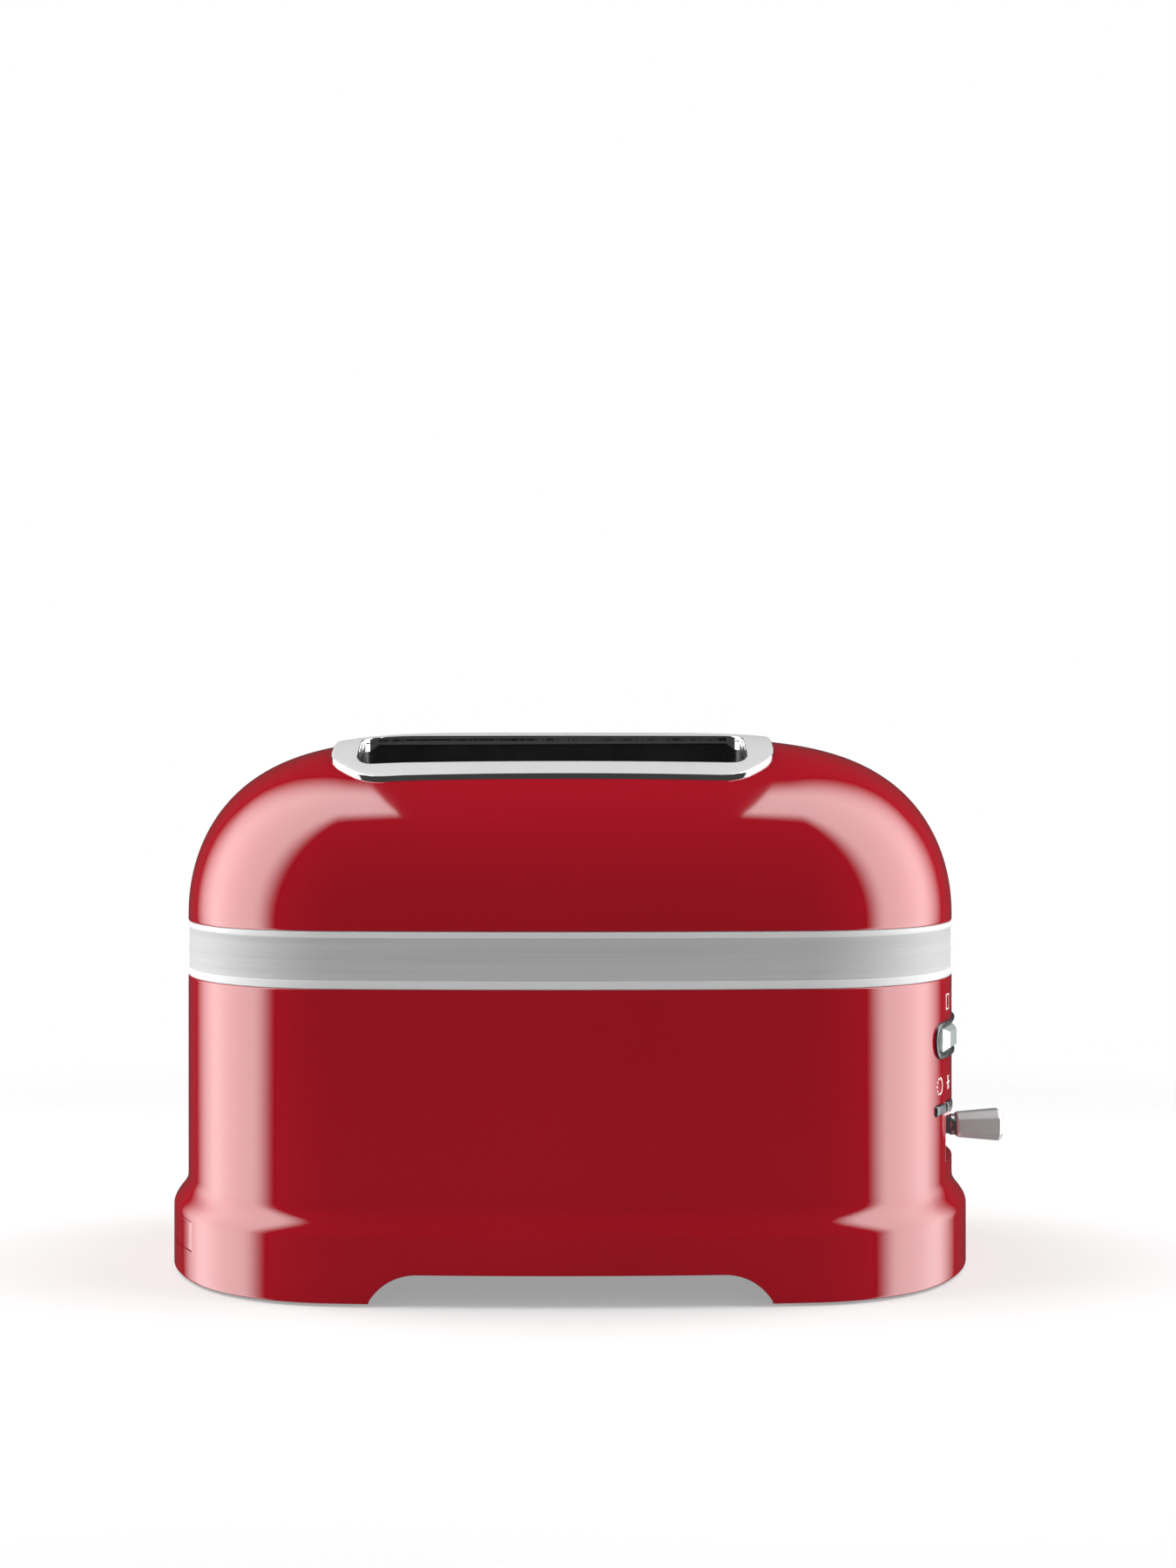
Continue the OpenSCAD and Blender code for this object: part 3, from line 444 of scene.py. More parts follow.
class Form:
    """The body's outline in plan and the dome above it, about the body's own middle."""

    def __init__(self, shape):
        self.a = shape.half_length
        self.b = shape.half_width
        self.end_r = shape.end_radius
        self.side_r = shape.side_radius
        self.corner_r = shape.corner_radius
        self.z0 = shape.dome_start
        self.rise = shape.dome_rise
        self.end_depth = shape.end_depth
        self.shift = middle("band").x
        self.end_cx = self.a - self.end_r
        self.side_cy = self.b - self.side_r
        inner_end = self.end_r - self.corner_r
        inner_side = self.side_r - self.corner_r
        gap = math.hypot(self.end_cx, self.side_cy)
        along = (inner_end**2 - inner_side**2 + gap**2) / (2 * gap)
        across = math.sqrt(inner_end**2 - along**2)
        ux, uy = -self.end_cx / gap, self.side_cy / gap
        self.corner = (self.end_cx + along * ux - across * uy, along * uy + across * ux)
        self.ang_end = math.atan2(self.corner[1], self.corner[0] - self.end_cx)
        self.ang_side = math.atan2(self.corner[1] - self.side_cy, self.corner[0])

    def quarter(self, grow, side_x, n_end=26, n_corner=34):
        """Outline points of one quarter, from the X axis to the Y axis."""
        end = np.linspace(0, self.ang_end, n_end, endpoint=False)
        corner = np.linspace(self.ang_end, self.ang_side, n_corner, endpoint=False)
        side = np.arccos(np.array(side_x) / self.side_r)
        arcs = (
            (self.end_cx, 0.0, self.end_r, end),
            (self.corner[0], self.corner[1], self.corner_r, corner),
            (0.0, self.side_cy, self.side_r, side),
        )
        return np.vstack(
            [np.column_stack([x + (r + grow) * np.cos(t), y + (r + grow) * np.sin(t)]) for x, y, r, t in arcs]
        )

    def loop(self, grow=0.0, side_x=None):
        """The whole outline, grown outwards, as a closed loop of points."""
        if side_x is None:
            side_x = np.linspace(self.side_r * math.cos(self.ang_side), 0, 25)
        q = self.quarter(grow, side_x)
        n = len(q) - 1
        return np.vstack(
            [q[:n], q[n:0:-1] * (-1, 1), q[:n] * (-1, -1), q[n:0:-1] * (1, -1)]
        )

    def edge_y(self, x):
        """Half width of the plan at a distance x from the middle."""
        x = np.abs(x)
        side_x = self.side_r * math.cos(self.ang_side)
        corner_x = self.end_cx + self.end_r * math.cos(self.ang_end)
        side = self.side_cy + np.sqrt(self.side_r**2 - np.minimum(x, side_x) ** 2)
        corner = self.corner[1] + np.sqrt(np.maximum(self.corner_r**2 - (x - self.corner[0]) ** 2, 0))
        end = np.sqrt(np.maximum(self.end_r**2 - (x - self.end_cx) ** 2, 0))
        return np.where(x < side_x, side, np.where(x < corner_x, corner, end))

    def spans(self, h):
        """Half length and share of the width of the dome at share h of its rise."""
        left = np.maximum(1 - h * h, 1e-9)
        return self.a * left ** (1 / 4.7), left ** (1 / 2.15)

    def dome_ring(self, h, points):
        half, share = self.spans(h)
        flat = self.a - self.end_depth
        top_flat = half - self.end_depth * share
        ax = np.abs(points[:, 0])
        x = np.where(ax > flat, top_flat + (ax - flat) * share, ax * top_flat / flat)
        z = np.full(len(points), self.z0 + self.rise * h)
        return np.column_stack([np.sign(points[:, 0]) * x, points[:, 1] * share, z])

    def dome_z(self, x, y):
        """Height of the dome over points of the plan, found by halving."""
        x, y = np.abs(np.asarray(x, float)), np.abs(np.asarray(y, float))
        low, high = np.zeros_like(x), np.full_like(x, 0.99999)
        flat = self.a - self.end_depth
        for _ in range(26):
            h = (low + high) / 2
            half, share = self.spans(h)
            top_flat = half - self.end_depth * share
            px = np.where(x > top_flat, flat + (x - top_flat) / share, x * flat / np.maximum(top_flat, 1e-6))
            inside = (px <= self.a) & (y / share <= self.edge_y(np.minimum(px, self.a)))
            low, high = np.where(inside, h, low), np.where(inside, high, h)
        return self.z0 + self.rise * low

    def wrap(self, side, up, out):
        """A point of the control end: distance along the arc, height and distance outwards."""
        t = side / self.end_r
        r = self.end_r + out
        return self.end_cx + r * np.cos(t), r * np.sin(t), up


FORM = [None]


# ---- mesh building ------------------------------------------------------------------------


def new_piece(name, points, faces, materials, uvs=None, smooth=True):
    """Makes a mesh piece from points in the body's own frame; the frame's shift along X is added here."""
    moved = np.asarray(points, float) + (FORM[0].shift, 0, 0)
    mesh = bpy.data.meshes.new(name)
    mesh.from_pydata([tuple(p) for p in moved], [], [tuple(int(i) for i in f) for f in faces])
    if uvs is not None:
        layer = mesh.uv_layers.new(name="along")
        for loop in mesh.loops:
            layer.data[loop.index].uv = uvs[loop.vertex_index]
    mesh.update()
    mesh.validate()
    obj = bpy.data.objects.new(name, mesh)
    bpy.context.scene.collection.objects.link(obj)
    for material in materials:
        mesh.materials.append(material)
    if smooth:
        mesh.shade_smooth()
    return obj


def tube_faces(rings, around, closed_up=False):
    """Quads between rings of equal length, each ring closed on itself."""
    faces = []
    for i in range(rings if closed_up else rings - 1):
        this, above = i * around, (i + 1) % rings * around
        for j in range(around):
            after = (j + 1) % around
            faces.append((this + j, this + after, above + after, above + j))
    return faces


def capped_faces(rings, around, start=0):
    """Faces of a tube that is closed at both ends, for points counted from start."""
    lids = [tuple(range(around))[::-1], tuple(range((rings - 1) * around, rings * around))]
    return [tuple(start + i for i in face) for face in tube_faces(rings, around) + lids]


def level(outline, height):
    """The outline as a ring at one height, or with a height for each point."""
    return np.column_stack([outline, np.broadcast_to(height, len(outline))])


def skin(name, rings, materials, closed_up=False, sharp=None, uvs=None):
    """A piece whose surface runs through rings; its edges above the angle sharp, in degrees, stay hard."""
    faces = tube_faces(len(rings), len(rings[0]), closed_up)
    obj = new_piece(name, np.vstack(rings), faces, materials, uvs)
    if sharp is not None:
        turn_outwards(obj)
        obj.data.set_sharp_from_angle(angle=math.radians(sharp))
    return obj


def turned(profile, axis, at):
    """Rings turned about an axis through a point, from pairs of place along the axis and radius."""
    t = np.linspace(0, 2 * math.pi, ROUND, endpoint=False)
    rings = []
    for along, radius in profile:
        circle = np.column_stack([radius * np.cos(t), radius * np.sin(t)])
        rings.append(np.insert(circle, axis, along, axis=1) + at)
    return rings


def add_modifier(obj, kind, **settings):
    made = obj.modifiers.new(kind.title(), kind)
    for key, value in settings.items():
        setattr(made, key, value)


def bake_modifiers(obj):
    """Turns what the modifiers make into the piece's own mesh."""
    graph = bpy.context.evaluated_depsgraph_get()
    mesh = bpy.data.meshes.new_from_object(obj.evaluated_get(graph))
    old = obj.data
    obj.modifiers.clear()
    obj.data = mesh
    bpy.data.meshes.remove(old)


def hollow(obj):
    """Gives a skin the thickness of the castings, inwards."""
    wall = bpy.context.scene.toaster_shape.wall
    add_modifier(obj, "SOLIDIFY", thickness=wall, offset=-1.0, use_even_offset=True)
    bake_modifiers(obj)


def soften(obj, width, segments, angle):
    """Rounds the edges sharper than the angle, in degrees, and evens the shading of the flats."""
    corner = {"limit_method": "ANGLE", "angle_limit": math.radians(angle), "miter_outer": "MITER_ARC"}
    add_modifier(obj, "BEVEL", width=width, segments=segments, **corner)
    add_modifier(obj, "WEIGHTED_NORMAL", keep_sharp=True, weight=60)


def cut_away(obj, cutters):
    """Cuts closed shapes out of a piece and removes them."""
    for cutter in cutters:
        add_modifier(obj, "BOOLEAN", object=cutter, operation="DIFFERENCE", solver="EXACT")
    bake_modifiers(obj)
    for cutter in cutters:
        bpy.data.objects.remove(cutter, do_unlink=True)


def attach(obj, node, slot=None):
    """The piece rides on a CAD node's body; the slot argument is not used."""
    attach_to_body(obj, BODY_OF[node])


def settle(obj, node):
    """The piece stands for a CAD node."""
    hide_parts(node)
    attach(obj, node)


def rounded(half_u, half_v, radius, steps=8):
    """Closed outline of a rounded rectangle about the origin."""
    radius = min(radius, half_u, half_v)
    points = []
    for su, sv, start in ((1, 1, 0), (-1, 1, 90), (-1, -1, 180), (1, -1, 270)):
        u, v = su * (half_u - radius), sv * (half_v - radius)
        for i in range(steps + 1):
            t = math.radians(start + 90 * i / steps)
            points.append((u + radius * math.cos(t), v + radius * math.sin(t)))
    return np.array(points)


def chamfered(half_u, half_v, cut, soft=2 * MM, steps=4):
    """Closed outline of a rectangle with cut and slightly rounded corners."""
    corners = []
    for su, sv in ((1, 1), (-1, 1), (-1, -1), (1, -1)):
        pair = [(su * half_u, sv * (half_v - cut)), (su * (half_u - cut), sv * half_v)]
        corners += pair if su * sv > 0 else pair[::-1]
    corners = np.array(corners)
    points = []
    for i, p in enumerate(corners):
        before, after = corners[i - 1], corners[(i + 1) % len(corners)]
        u, v = (before - p) / np.linalg.norm(before - p), (after - p) / np.linalg.norm(after - p)
        for k in range(steps + 1):
            t = k / steps
            points.append((1 - t) ** 2 * (p + u * soft) + 2 * t * (1 - t) * p + t * t * (p + v * soft))
    return np.array(points)


def prism(name, outline, low, high, at, along_x=True):
    """Closed prism over an outline, along X or up, about a point."""
    n = len(outline)
    flat = level(np.vstack([outline, outline]), np.repeat((low, high), n))
    if along_x:
        flat = flat[:, (2, 0, 1)]
    faces = [tuple(range(n)), tuple(range(2 * n - 1, n - 1, -1)), *tube_faces(2, n)]
    obj = new_piece(name, flat + at, faces, [], smooth=False)
    turn_outwards(obj)
    return obj


def turn_outwards(obj):
    work = bmesh.new()
    work.from_mesh(obj.data)
    bmesh.ops.recalc_face_normals(work, faces=work.faces)
    work.to_mesh(obj.data)
    work.free()


def flat_plate(name, outlines, thick, edge):
    """Mesh of a level plate with rounded edges, from its outline and those of its holes."""
    drawing = bpy.data.curves.new(name, "CURVE")
    drawing.dimensions = "2D"
    drawing.fill_mode = "BOTH"
    drawing.extrude = thick / 2 - edge
    drawing.bevel_depth = edge
    drawing.bevel_resolution = 2
    drawing.offset = -edge
    for outline in outlines:
        line = drawing.splines.new("POLY")
        line.points.add(len(outline) - 1)
        for point, (u, v) in zip(line.points, outline):
            point.co = (u, v, 0, 1)
        line.use_cyclic_u = True
    holder = bpy.data.objects.new(name, drawing)
    bpy.context.scene.collection.objects.link(holder)
    graph = bpy.context.evaluated_depsgraph_get()
    mesh = bpy.data.meshes.new_from_object(holder.evaluated_get(graph))
    bpy.data.objects.remove(holder, do_unlink=True)
    bpy.data.curves.remove(drawing)
    return mesh


def plate(name, outer, holes, thick, edge, cell, material, place):
    """A plate with holes and rounded edges, cut into cells and then laid on a curved surface by place."""
    mesh = flat_plate(name, [outer, *holes], thick, edge)
    work = bmesh.new()
    work.from_mesh(mesh)
    bmesh.ops.remove_doubles(work, verts=work.verts, dist=1e-6)
    low, high = outer.min(0), outer.max(0)
    for axis, normal in enumerate((Vector((1, 0, 0)), Vector((0, 1, 0)))):
        for value in np.arange(low[axis] + cell, high[axis], cell):
            parts = work.verts[:] + work.edges[:] + work.faces[:]
            bmesh.ops.bisect_plane(work, geom=parts, dist=1e-7, plane_co=normal * value, plane_no=normal)
    flat = np.array([v.co for v in work.verts])
    points = np.column_stack(place(*flat.T)) + (FORM[0].shift, 0, 0)
    for vert, point in zip(work.verts, points):
        vert.co = point
    bmesh.ops.recalc_face_normals(work, faces=work.faces)
    work.to_mesh(mesh)
    work.free()
    mesh.name = name
    mesh.materials.clear()
    mesh.materials.append(material)
    mesh.shade_smooth()
    mesh.set_sharp_from_angle(angle=math.radians(38))
    obj = bpy.data.objects.new(name, mesh)
    bpy.context.scene.collection.objects.link(obj)
    return obj


# ---- pieces -------------------------------------------------------------------------------


class TOASTER_OT_lower_shell(bpy.types.Operator):
    """Red lower casting with its flared, arched base"""

    bl_idname = "toaster.lower_shell"
    bl_label = "Lower shell"

    def execute(self, context):
        shape, form = context.scene.toaster_shape, FORM[0]
        obj = skin("lower_casting", self.rings(shape, form), [red_enamel()])
        hollow(obj)
        cut_away(obj, self.cutters())
        soften(obj, 0.25 * MM, 2, 50)
        settle(obj, "lower_shell")
        return {"FINISHED"}

    def rings(self, shape, form):
        """Outlines from the foot, over the shoulder of the base, to the band."""
        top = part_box("lower_shell")[1].z
        skirt_top, flare = shape.skirt_top, shape.flare
        side_x, bottom = self.arch(shape, form)

        def ring(out, height):
            return level(form.loop(out, side_x), height)

        foot = ((0.0, 0.8), (0.12, 0.35), (0.4, 0.1), (0.8, 0.0))
        rings = [ring(flare - inset * MM, bottom + rise * MM) for rise, inset in foot]
        start = bottom + 0.8 * MM
        rings += [ring(flare, start + (skirt_top - start) * share) for share in (0.15, 0.35, 0.6, 0.85, 1.0)]
        shoulder = (
            (0.8, 5.48), (1.6, 5.3), (2.4, 5.0), (3.4, 4.5), (4.5, 3.75), (5.6, 2.9),
            (6.8, 1.95), (7.9, 1.2), (9.0, 0.62), (10.1, 0.25), (11.3, 0.05), (12.5, 0.0),
        )
        rings += [ring(out * MM, skirt_top + rise * MM) for rise, out in shoulder]
        rings += [ring(0, z) for z in np.linspace(skirt_top + 18 * MM, top - 1.2 * MM, 9)]
        lip = ((0.7, 0.0), (0.35, 0.06), (0.1, 0.25), (0.0, 0.5))
        return rings + [ring(-inset * MM, top - drop * MM) for drop, inset in lip]

    def arch(self, shape, form):
        """Places along the long side, close together at the arch, and the foot's height at each point."""
        flat = shape.arch_half - shape.arch_radius * 0.855
        near = shape.side_radius * math.cos(form.ang_side)
        foot = shape.arch_half
        side_x = np.concatenate(
            [
                np.linspace(near, foot + 3 * MM, 5),
                foot + np.array((1, 0.2, -0.2, -1)) * MM,
                np.linspace(foot - 2.2 * MM, flat, 12),
                np.linspace(flat - 4 * MM, 0, 12),
            ]
        )
        line = form.loop(0, side_x)
        along = np.abs(line[:, 0])
        on_side = (along < foot) & (np.abs(line[:, 1]) > form.b * 0.8)
        drop = np.sqrt(np.maximum(shape.arch_radius**2 - np.maximum(along - flat, 0) ** 2, 0))
        arch = np.where(along < flat, shape.arch_height, shape.arch_height - shape.arch_radius + drop)
        return side_x, np.where(on_side, arch, 1 * MM)

    def cutters(self):
        """Prisms for the openings: slider, lever and buttons at one end, tray and gland at the other."""
        gland = middle("strain_relief")
        control_end, cord_end = (120 * MM, 170 * MM), (-180 * MM, -120 * MM)
        holes = [
            ("ring", (53.5, 6.3, 6.3), control_end, 0, middle("slider_ring").z),
            ("tray", (57.15, 5.65, 1.1), cord_end, 0, 17.9 * MM),
            ("pocket", (40.9, 9.2, 1.5), control_end, 0, middle("lever_recess").z + 0.5 * MM),
            ("gland", (8.3, 8.3, 8.3), cord_end, gland.y, gland.z),
        ]
        for i in range(1, 5):
            at = middle(f"button_{i}")
            holes.append((f"button_{i}", (5.5, 2.15, 0.7), control_end, at.y, at.z))
        return [
            prism(f"cut_{name}", rounded(*(size * MM for size in sizes)), *ends, (0, y, z))
            for name, sizes, ends, y, z in holes
        ]


class TOASTER_OT_upper_shell(bpy.types.Operator):
    """Red dome with the opening that the bezel covers"""

    bl_idname = "toaster.upper_shell"
    bl_label = "Upper shell"

    def execute(self, context):
        form = FORM[0]
        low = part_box("upper_shell")[0].z
        line = form.loop()
        lip = ((0.0, 0.5), (0.1, 0.25), (0.35, 0.06), (0.7, 0.0))
        rings = [level(form.loop(-inset * MM), low + rise * MM) for rise, inset in lip]
        opening = chamfered(*opening_half(), 13.6 * MM)
        opening[:, 0] += bezel_middle()
        top_share = (form.dome_z(opening[:, 0], opening[:, 1]).min() - form.z0) / form.rise - 0.03
        for t in np.linspace(0, math.asin(top_share), 26):
            rings.append(form.dome_ring(math.sin(t), line))
        outer = rings[-1][:, :2]
        inner = cast_on(opening, np.array([bezel_middle(), 0.0]), outer)
        for share in np.linspace(0, 1, 15)[1:]:
            spot = outer + (inner - outer) * share
            rings.append(level(spot, form.dome_z(spot[:, 0], spot[:, 1])))
        obj = skin("dome_casting", rings, [red_enamel()])
        hollow(obj)
        settle(obj, "upper_shell")
        return {"FINISHED"}


def bezel_middle():
    return middle("bezel").x - FORM[0].shift


def opening_half():
    """Half sizes of the opening in the dome, 4 mm inside the bezel's edge."""
    size = span("bezel")
    return size.x / 2 - 4 * MM, size.y / 2 - 4 * MM


def cast_on(outline, centre, points):
    """For each point, the place where the line from the centre to it meets a convex outline."""
    found = []
    n = len(outline)
    for p in points:
        d = p - centre
        best = None
        for i in range(n):
            a, b = outline[i] - centre, outline[(i + 1) % n] - centre
            e = b - a
            cross = d[0] * e[1] - d[1] * e[0]
            if abs(cross) < 1e-15:
                continue
            t = (a[0] * e[1] - a[1] * e[0]) / cross
            u = (a[0] * d[1] - a[1] * d[0]) / cross
            if t > 0 and -1e-9 <= u <= 1 + 1e-9:
                best = t if best is None else min(best, t)
        found.append(centre + d * best)
    return np.array(found)


class TOASTER_OT_band(bpy.types.Operator):
    """Brushed band with polished borders"""

    bl_idname = "toaster.band"
    bl_label = "Band"

    def execute(self, context):
        form = FORM[0]
        low, high = (corner.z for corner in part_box("band"))
        foot = (
            (0, -2.5), (0, -0.45), (0.25, -0.08), (0.6, 0.0), (2.5, 0.0),
            (2.8, -0.06), (2.95, -0.34), (3.1, -0.4), (7, -0.4), (12, -0.4),
        )
        head = (
            (2.4, -0.4), (2.25, -0.34), (2.1, -0.06), (1.8, 0.0),
            (0.6, 0.0), (0.25, -0.08), (0, -0.45), (0, -2.5),
        )
        profile = [(low + rise * MM, out) for rise, out in foot]
        profile += [(high - drop * MM, out) for drop, out in head]
        rings = [level(form.loop(out * MM), z) for z, out in profile]
        around = len(rings[0])
        walk = np.concatenate([[0], np.cumsum(np.linalg.norm(np.diff(form.loop(), axis=0), axis=1))])
        uvs = [(walk[j], z) for z, _ in profile for j in range(around)]
        obj = skin("metal_band", rings, [brushed_band(), polished_border()], closed_up=True, uvs=uvs)
        brushed_rows = range(7, 10)
        for face in obj.data.polygons:
            face.material_index = 0 if face.index // around in brushed_rows else 1
        settle(obj, "band")
        return {"FINISHED"}


class TOASTER_OT_bezel(bpy.types.Operator):
    """Chrome slot frame laid over the dome, with a collar and a duct in each slot"""

    bl_idname = "toaster.bezel"
    bl_label = "Bezel"

    def execute(self, context):
        form, rise = FORM[0], context.scene.toaster_shape.bezel_rise
        size = span("bezel")
        outer = chamfered(size.x / 2, size.y / 2, 13.5 * MM, 8 * MM)
        outer[:, 0] += bezel_middle()
        slots = [slot_outline(side) for side in (-1, 1)]
        thick = 2.6 * MM

        def drape(u, v, w):
            return u, v, form.dome_z(u, v) + rise - thick / 2 + w

        obj = plate("slot_frame", outer, slots, thick, 0.55 * MM, 2.5 * MM, satin_chrome(), drape)
        obj.data.materials.append(chrome())
        paint_sides(obj, form)
        settle(obj, "bezel")
        for side, word in ((-1, "front"), (1, "rear")):
            attach(self.collar(side, word, form, rise), "bezel")
            settle(self.duct(side, word, form), f"slot_liner_{word}")
        return {"FINISHED"}

    def collar(self, side, word, form, rise):
        """Chrome lip that turns down into the slot, deeper at the two ends."""
        line = slot_outline(side, 0.0, 10)
        reach = np.abs(line[:, 0] - line[:, 0].mean())
        at_end = np.clip((reach - (reach.max() - 9 * MM)) / (7 * MM), 0, 1)
        depth = 0.8 * MM + 3.6 * MM * at_end**2 * (3 - 2 * at_end)
        top = form.dome_z(line[:, 0], line[:, 1]) + rise - 0.7 * MM
        wide = slot_outline(side, 0.8 * MM, 10)
        rings = [level(line, top - depth * share) for share in (0.0, 0.25, 0.5, 0.75, 0.95, 1.0)]
        rings += [level(wide, top - depth * share) for share in (1.0, 0.5, 0.0)]
        return skin(f"slot_collar_{word}", rings, [chrome()], sharp=50)

    def duct(self, side, word, form):
        """Dark duct that hangs under the collar."""
        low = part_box(f"slot_liner_{word}")[0].z
        line, wide = slot_outline(side, 0.9 * MM, 10), slot_outline(side, 1.7 * MM, 10)
        top = form.dome_z(line[:, 0], line[:, 1]) + 0.4 * MM
        rings = [level(line, top + (low - top) * share) for share in (0.0, 0.3, 0.6, 0.85, 1.0)]
        rings += [level(wide, low), level(wide, top)]
        return skin(f"duct_{word}", rings, [black_liner()], sharp=50)


def slot_outline(side, grow=0.0, steps=8):
    """Outline of one bread slot in plan, 1 mm inside the liner that lines it."""
    shape = bpy.context.scene.toaster_shape
    half = span("slot_liner_front").x / 2 - 1 * MM
    line = rounded(half + grow, shape.slot_width / 2 + grow, 6 * MM + grow, steps)
    line[:, 0] += middle("slot_liner_front").x - FORM[0].shift
    line[:, 1] += side * (shape.slot_near + shape.slot_width / 2)
    return line


def paint_sides(obj, form):
    """Gives the steep faces of the frame its second, brighter finish."""
    faces = obj.data.polygons
    centres, normals = np.empty(len(faces) * 3), np.empty(len(faces) * 3)
    faces.foreach_get("center", centres)
    faces.foreach_get("normal", normals)
    x, y, _ = centres.reshape(-1, 3).T
    x = x - form.shift
    step = 0.5 * MM
    slope_x = (form.dome_z(x + step, y) - form.dome_z(x - step, y)) / (2 * step)
    slope_y = (form.dome_z(x, y + step) - form.dome_z(x, y - step)) / (2 * step)
    up = np.column_stack([-slope_x, -slope_y, np.ones(len(x))])
    up /= np.linalg.norm(up, axis=1)[:, None]
    steep = (normals.reshape(-1, 3) * up).sum(1) < 0.93
    faces.foreach_set("material_index", steep.astype(int))


class TOASTER_OT_slider(bpy.types.Operator):
    """Slider surround and its faceted knob"""

    bl_idname = "toaster.slider"
    bl_label = "Browning slider"

    def execute(self, context):
        form = FORM[0]
        z, size = middle("slider_ring").z, span("slider_ring")
        reach = end_arc(form, size.y / 2)

        def inset(step, by):
            half = size.z / 2 - by
            return rounded(reach - by - step, half, half, 14)

        outer, inner, lip = inset(0, 0), inset(0, 1.4 * MM), inset(0.4 * MM, 2.0 * MM)
        slot = rounded(end_arc(form, 44.5 * MM), 2 * MM, 2 * MM, 8)
        for name, edge, hole, thick, soft, sunk, look in (
            ("slider_surround", outer, inner, 2.2, 0.5, 0.0, dark_metal),
            ("slider_step", inner, lip, 1.8, 0.3, 0.2, chrome),
            ("slider_floor", inner, slot, 1.2, 0.2, 1.8, dark_metal),
        ):

            def on_end(u, v, w, sunk=sunk):
                return form.wrap(u, v + z, w - sunk * MM)

            part = plate(name, edge, [hole], thick * MM, soft * MM, 2.5 * MM, look(), on_end)
            (settle if name == "slider_surround" else attach)(part, "slider_ring")
        self.knob(form, z)
        return {"FINISHED"}

    def knob(self, form, z):
        """Low knob with four bevels round a flat face, on its stem and wiper plate."""
        r = form.end_r
        rings = []
        for out, u, v, corner in ((-0.9, 12.3, 4.3, 0.9), (0.2, 12.4, 4.4, 0.9), (2.2, 7.5, 3.0, 0.5)):
            line = rounded(u * MM, v * MM, corner * MM, 3)
            sag = r - np.sqrt(r**2 - line[:, 0] ** 2) if out < 0 else 0.0
            rings.append(level(line, r + out * MM - sag)[:, (2, 0, 1)])
        points, faces = np.vstack(rings), capped_faces(len(rings), len(rings[0]))
        for low, high, u, v in ((-7.0, -0.7, 4, 1.5), (-9.4, -4.6, 8, 5.5)):
            t = np.linspace(-u * MM, u * MM, 9) / r
            radius = r + np.repeat((low, high), len(t)) * MM
            t = np.concatenate([t, t[::-1]])
            wall = np.column_stack([radius * np.cos(t), radius * np.sin(t)])
            faces += capped_faces(2, len(wall), len(points))
            points = np.vstack([points, level(wall, -v * MM), level(wall, v * MM)])
        turn = math.radians(-18.5)
        c, s = math.cos(turn), math.sin(turn)
        x, y, up = points.T
        points = np.column_stack([x * c - y * s + form.end_cx, x * s + y * c, up + z])
        obj = new_piece("slider_grip", points, faces, [lever_metal()])
        turn_outwards(obj)
        soften(obj, 0.2 * MM, 3, 12)
        settle(obj, "slider_carrier")


def end_arc(form, y):
    """Distance along the control end's arc to a point y off the middle plane."""
    return form.end_r * math.asin(y / form.end_r)


class TOASTER_OT_buttons(bpy.types.Operator):
    """Four push buttons that follow the curve of the end"""

    bl_idname = "toaster.buttons"
    bl_label = "Buttons"

    def execute(self, context):
        form = FORM[0]
        cap = rounded(5.15 * MM, 1.78 * MM, 0.6 * MM, 5)
        for i in range(1, 5):
            node = f"button_{i}"
            at = middle(node)

            def bent(u, v, w, at=at):
                y = at.y + u
                r = form.end_r + w - 1.6 * MM
                crown = 0.15 * MM * (1 - (v / (1.8 * MM)) ** 2) * (w > 0)
                return form.end_cx + np.sqrt((r + crown) ** 2 - y**2), y, at.z + v

            key = plate(f"push_key_{i}", cap, [], 5.0 * MM, 0.3 * MM, 1.3 * MM, grey_metal(), bent)
            settle(key, node)
            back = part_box(node)[0].x - form.shift
            front = form.end_cx + math.sqrt(form.end_r**2 - at.y**2) - 3 * MM
            outline = rounded(3.5 * MM, 1.4 * MM, 0.3 * MM, 2)
            stem = prism(f"key_stem_{i}", outline, back, front, (0, at.y, at.z))
            stem.data.materials.append(black_plastic())
            attach(stem, node)
        return {"FINISHED"}


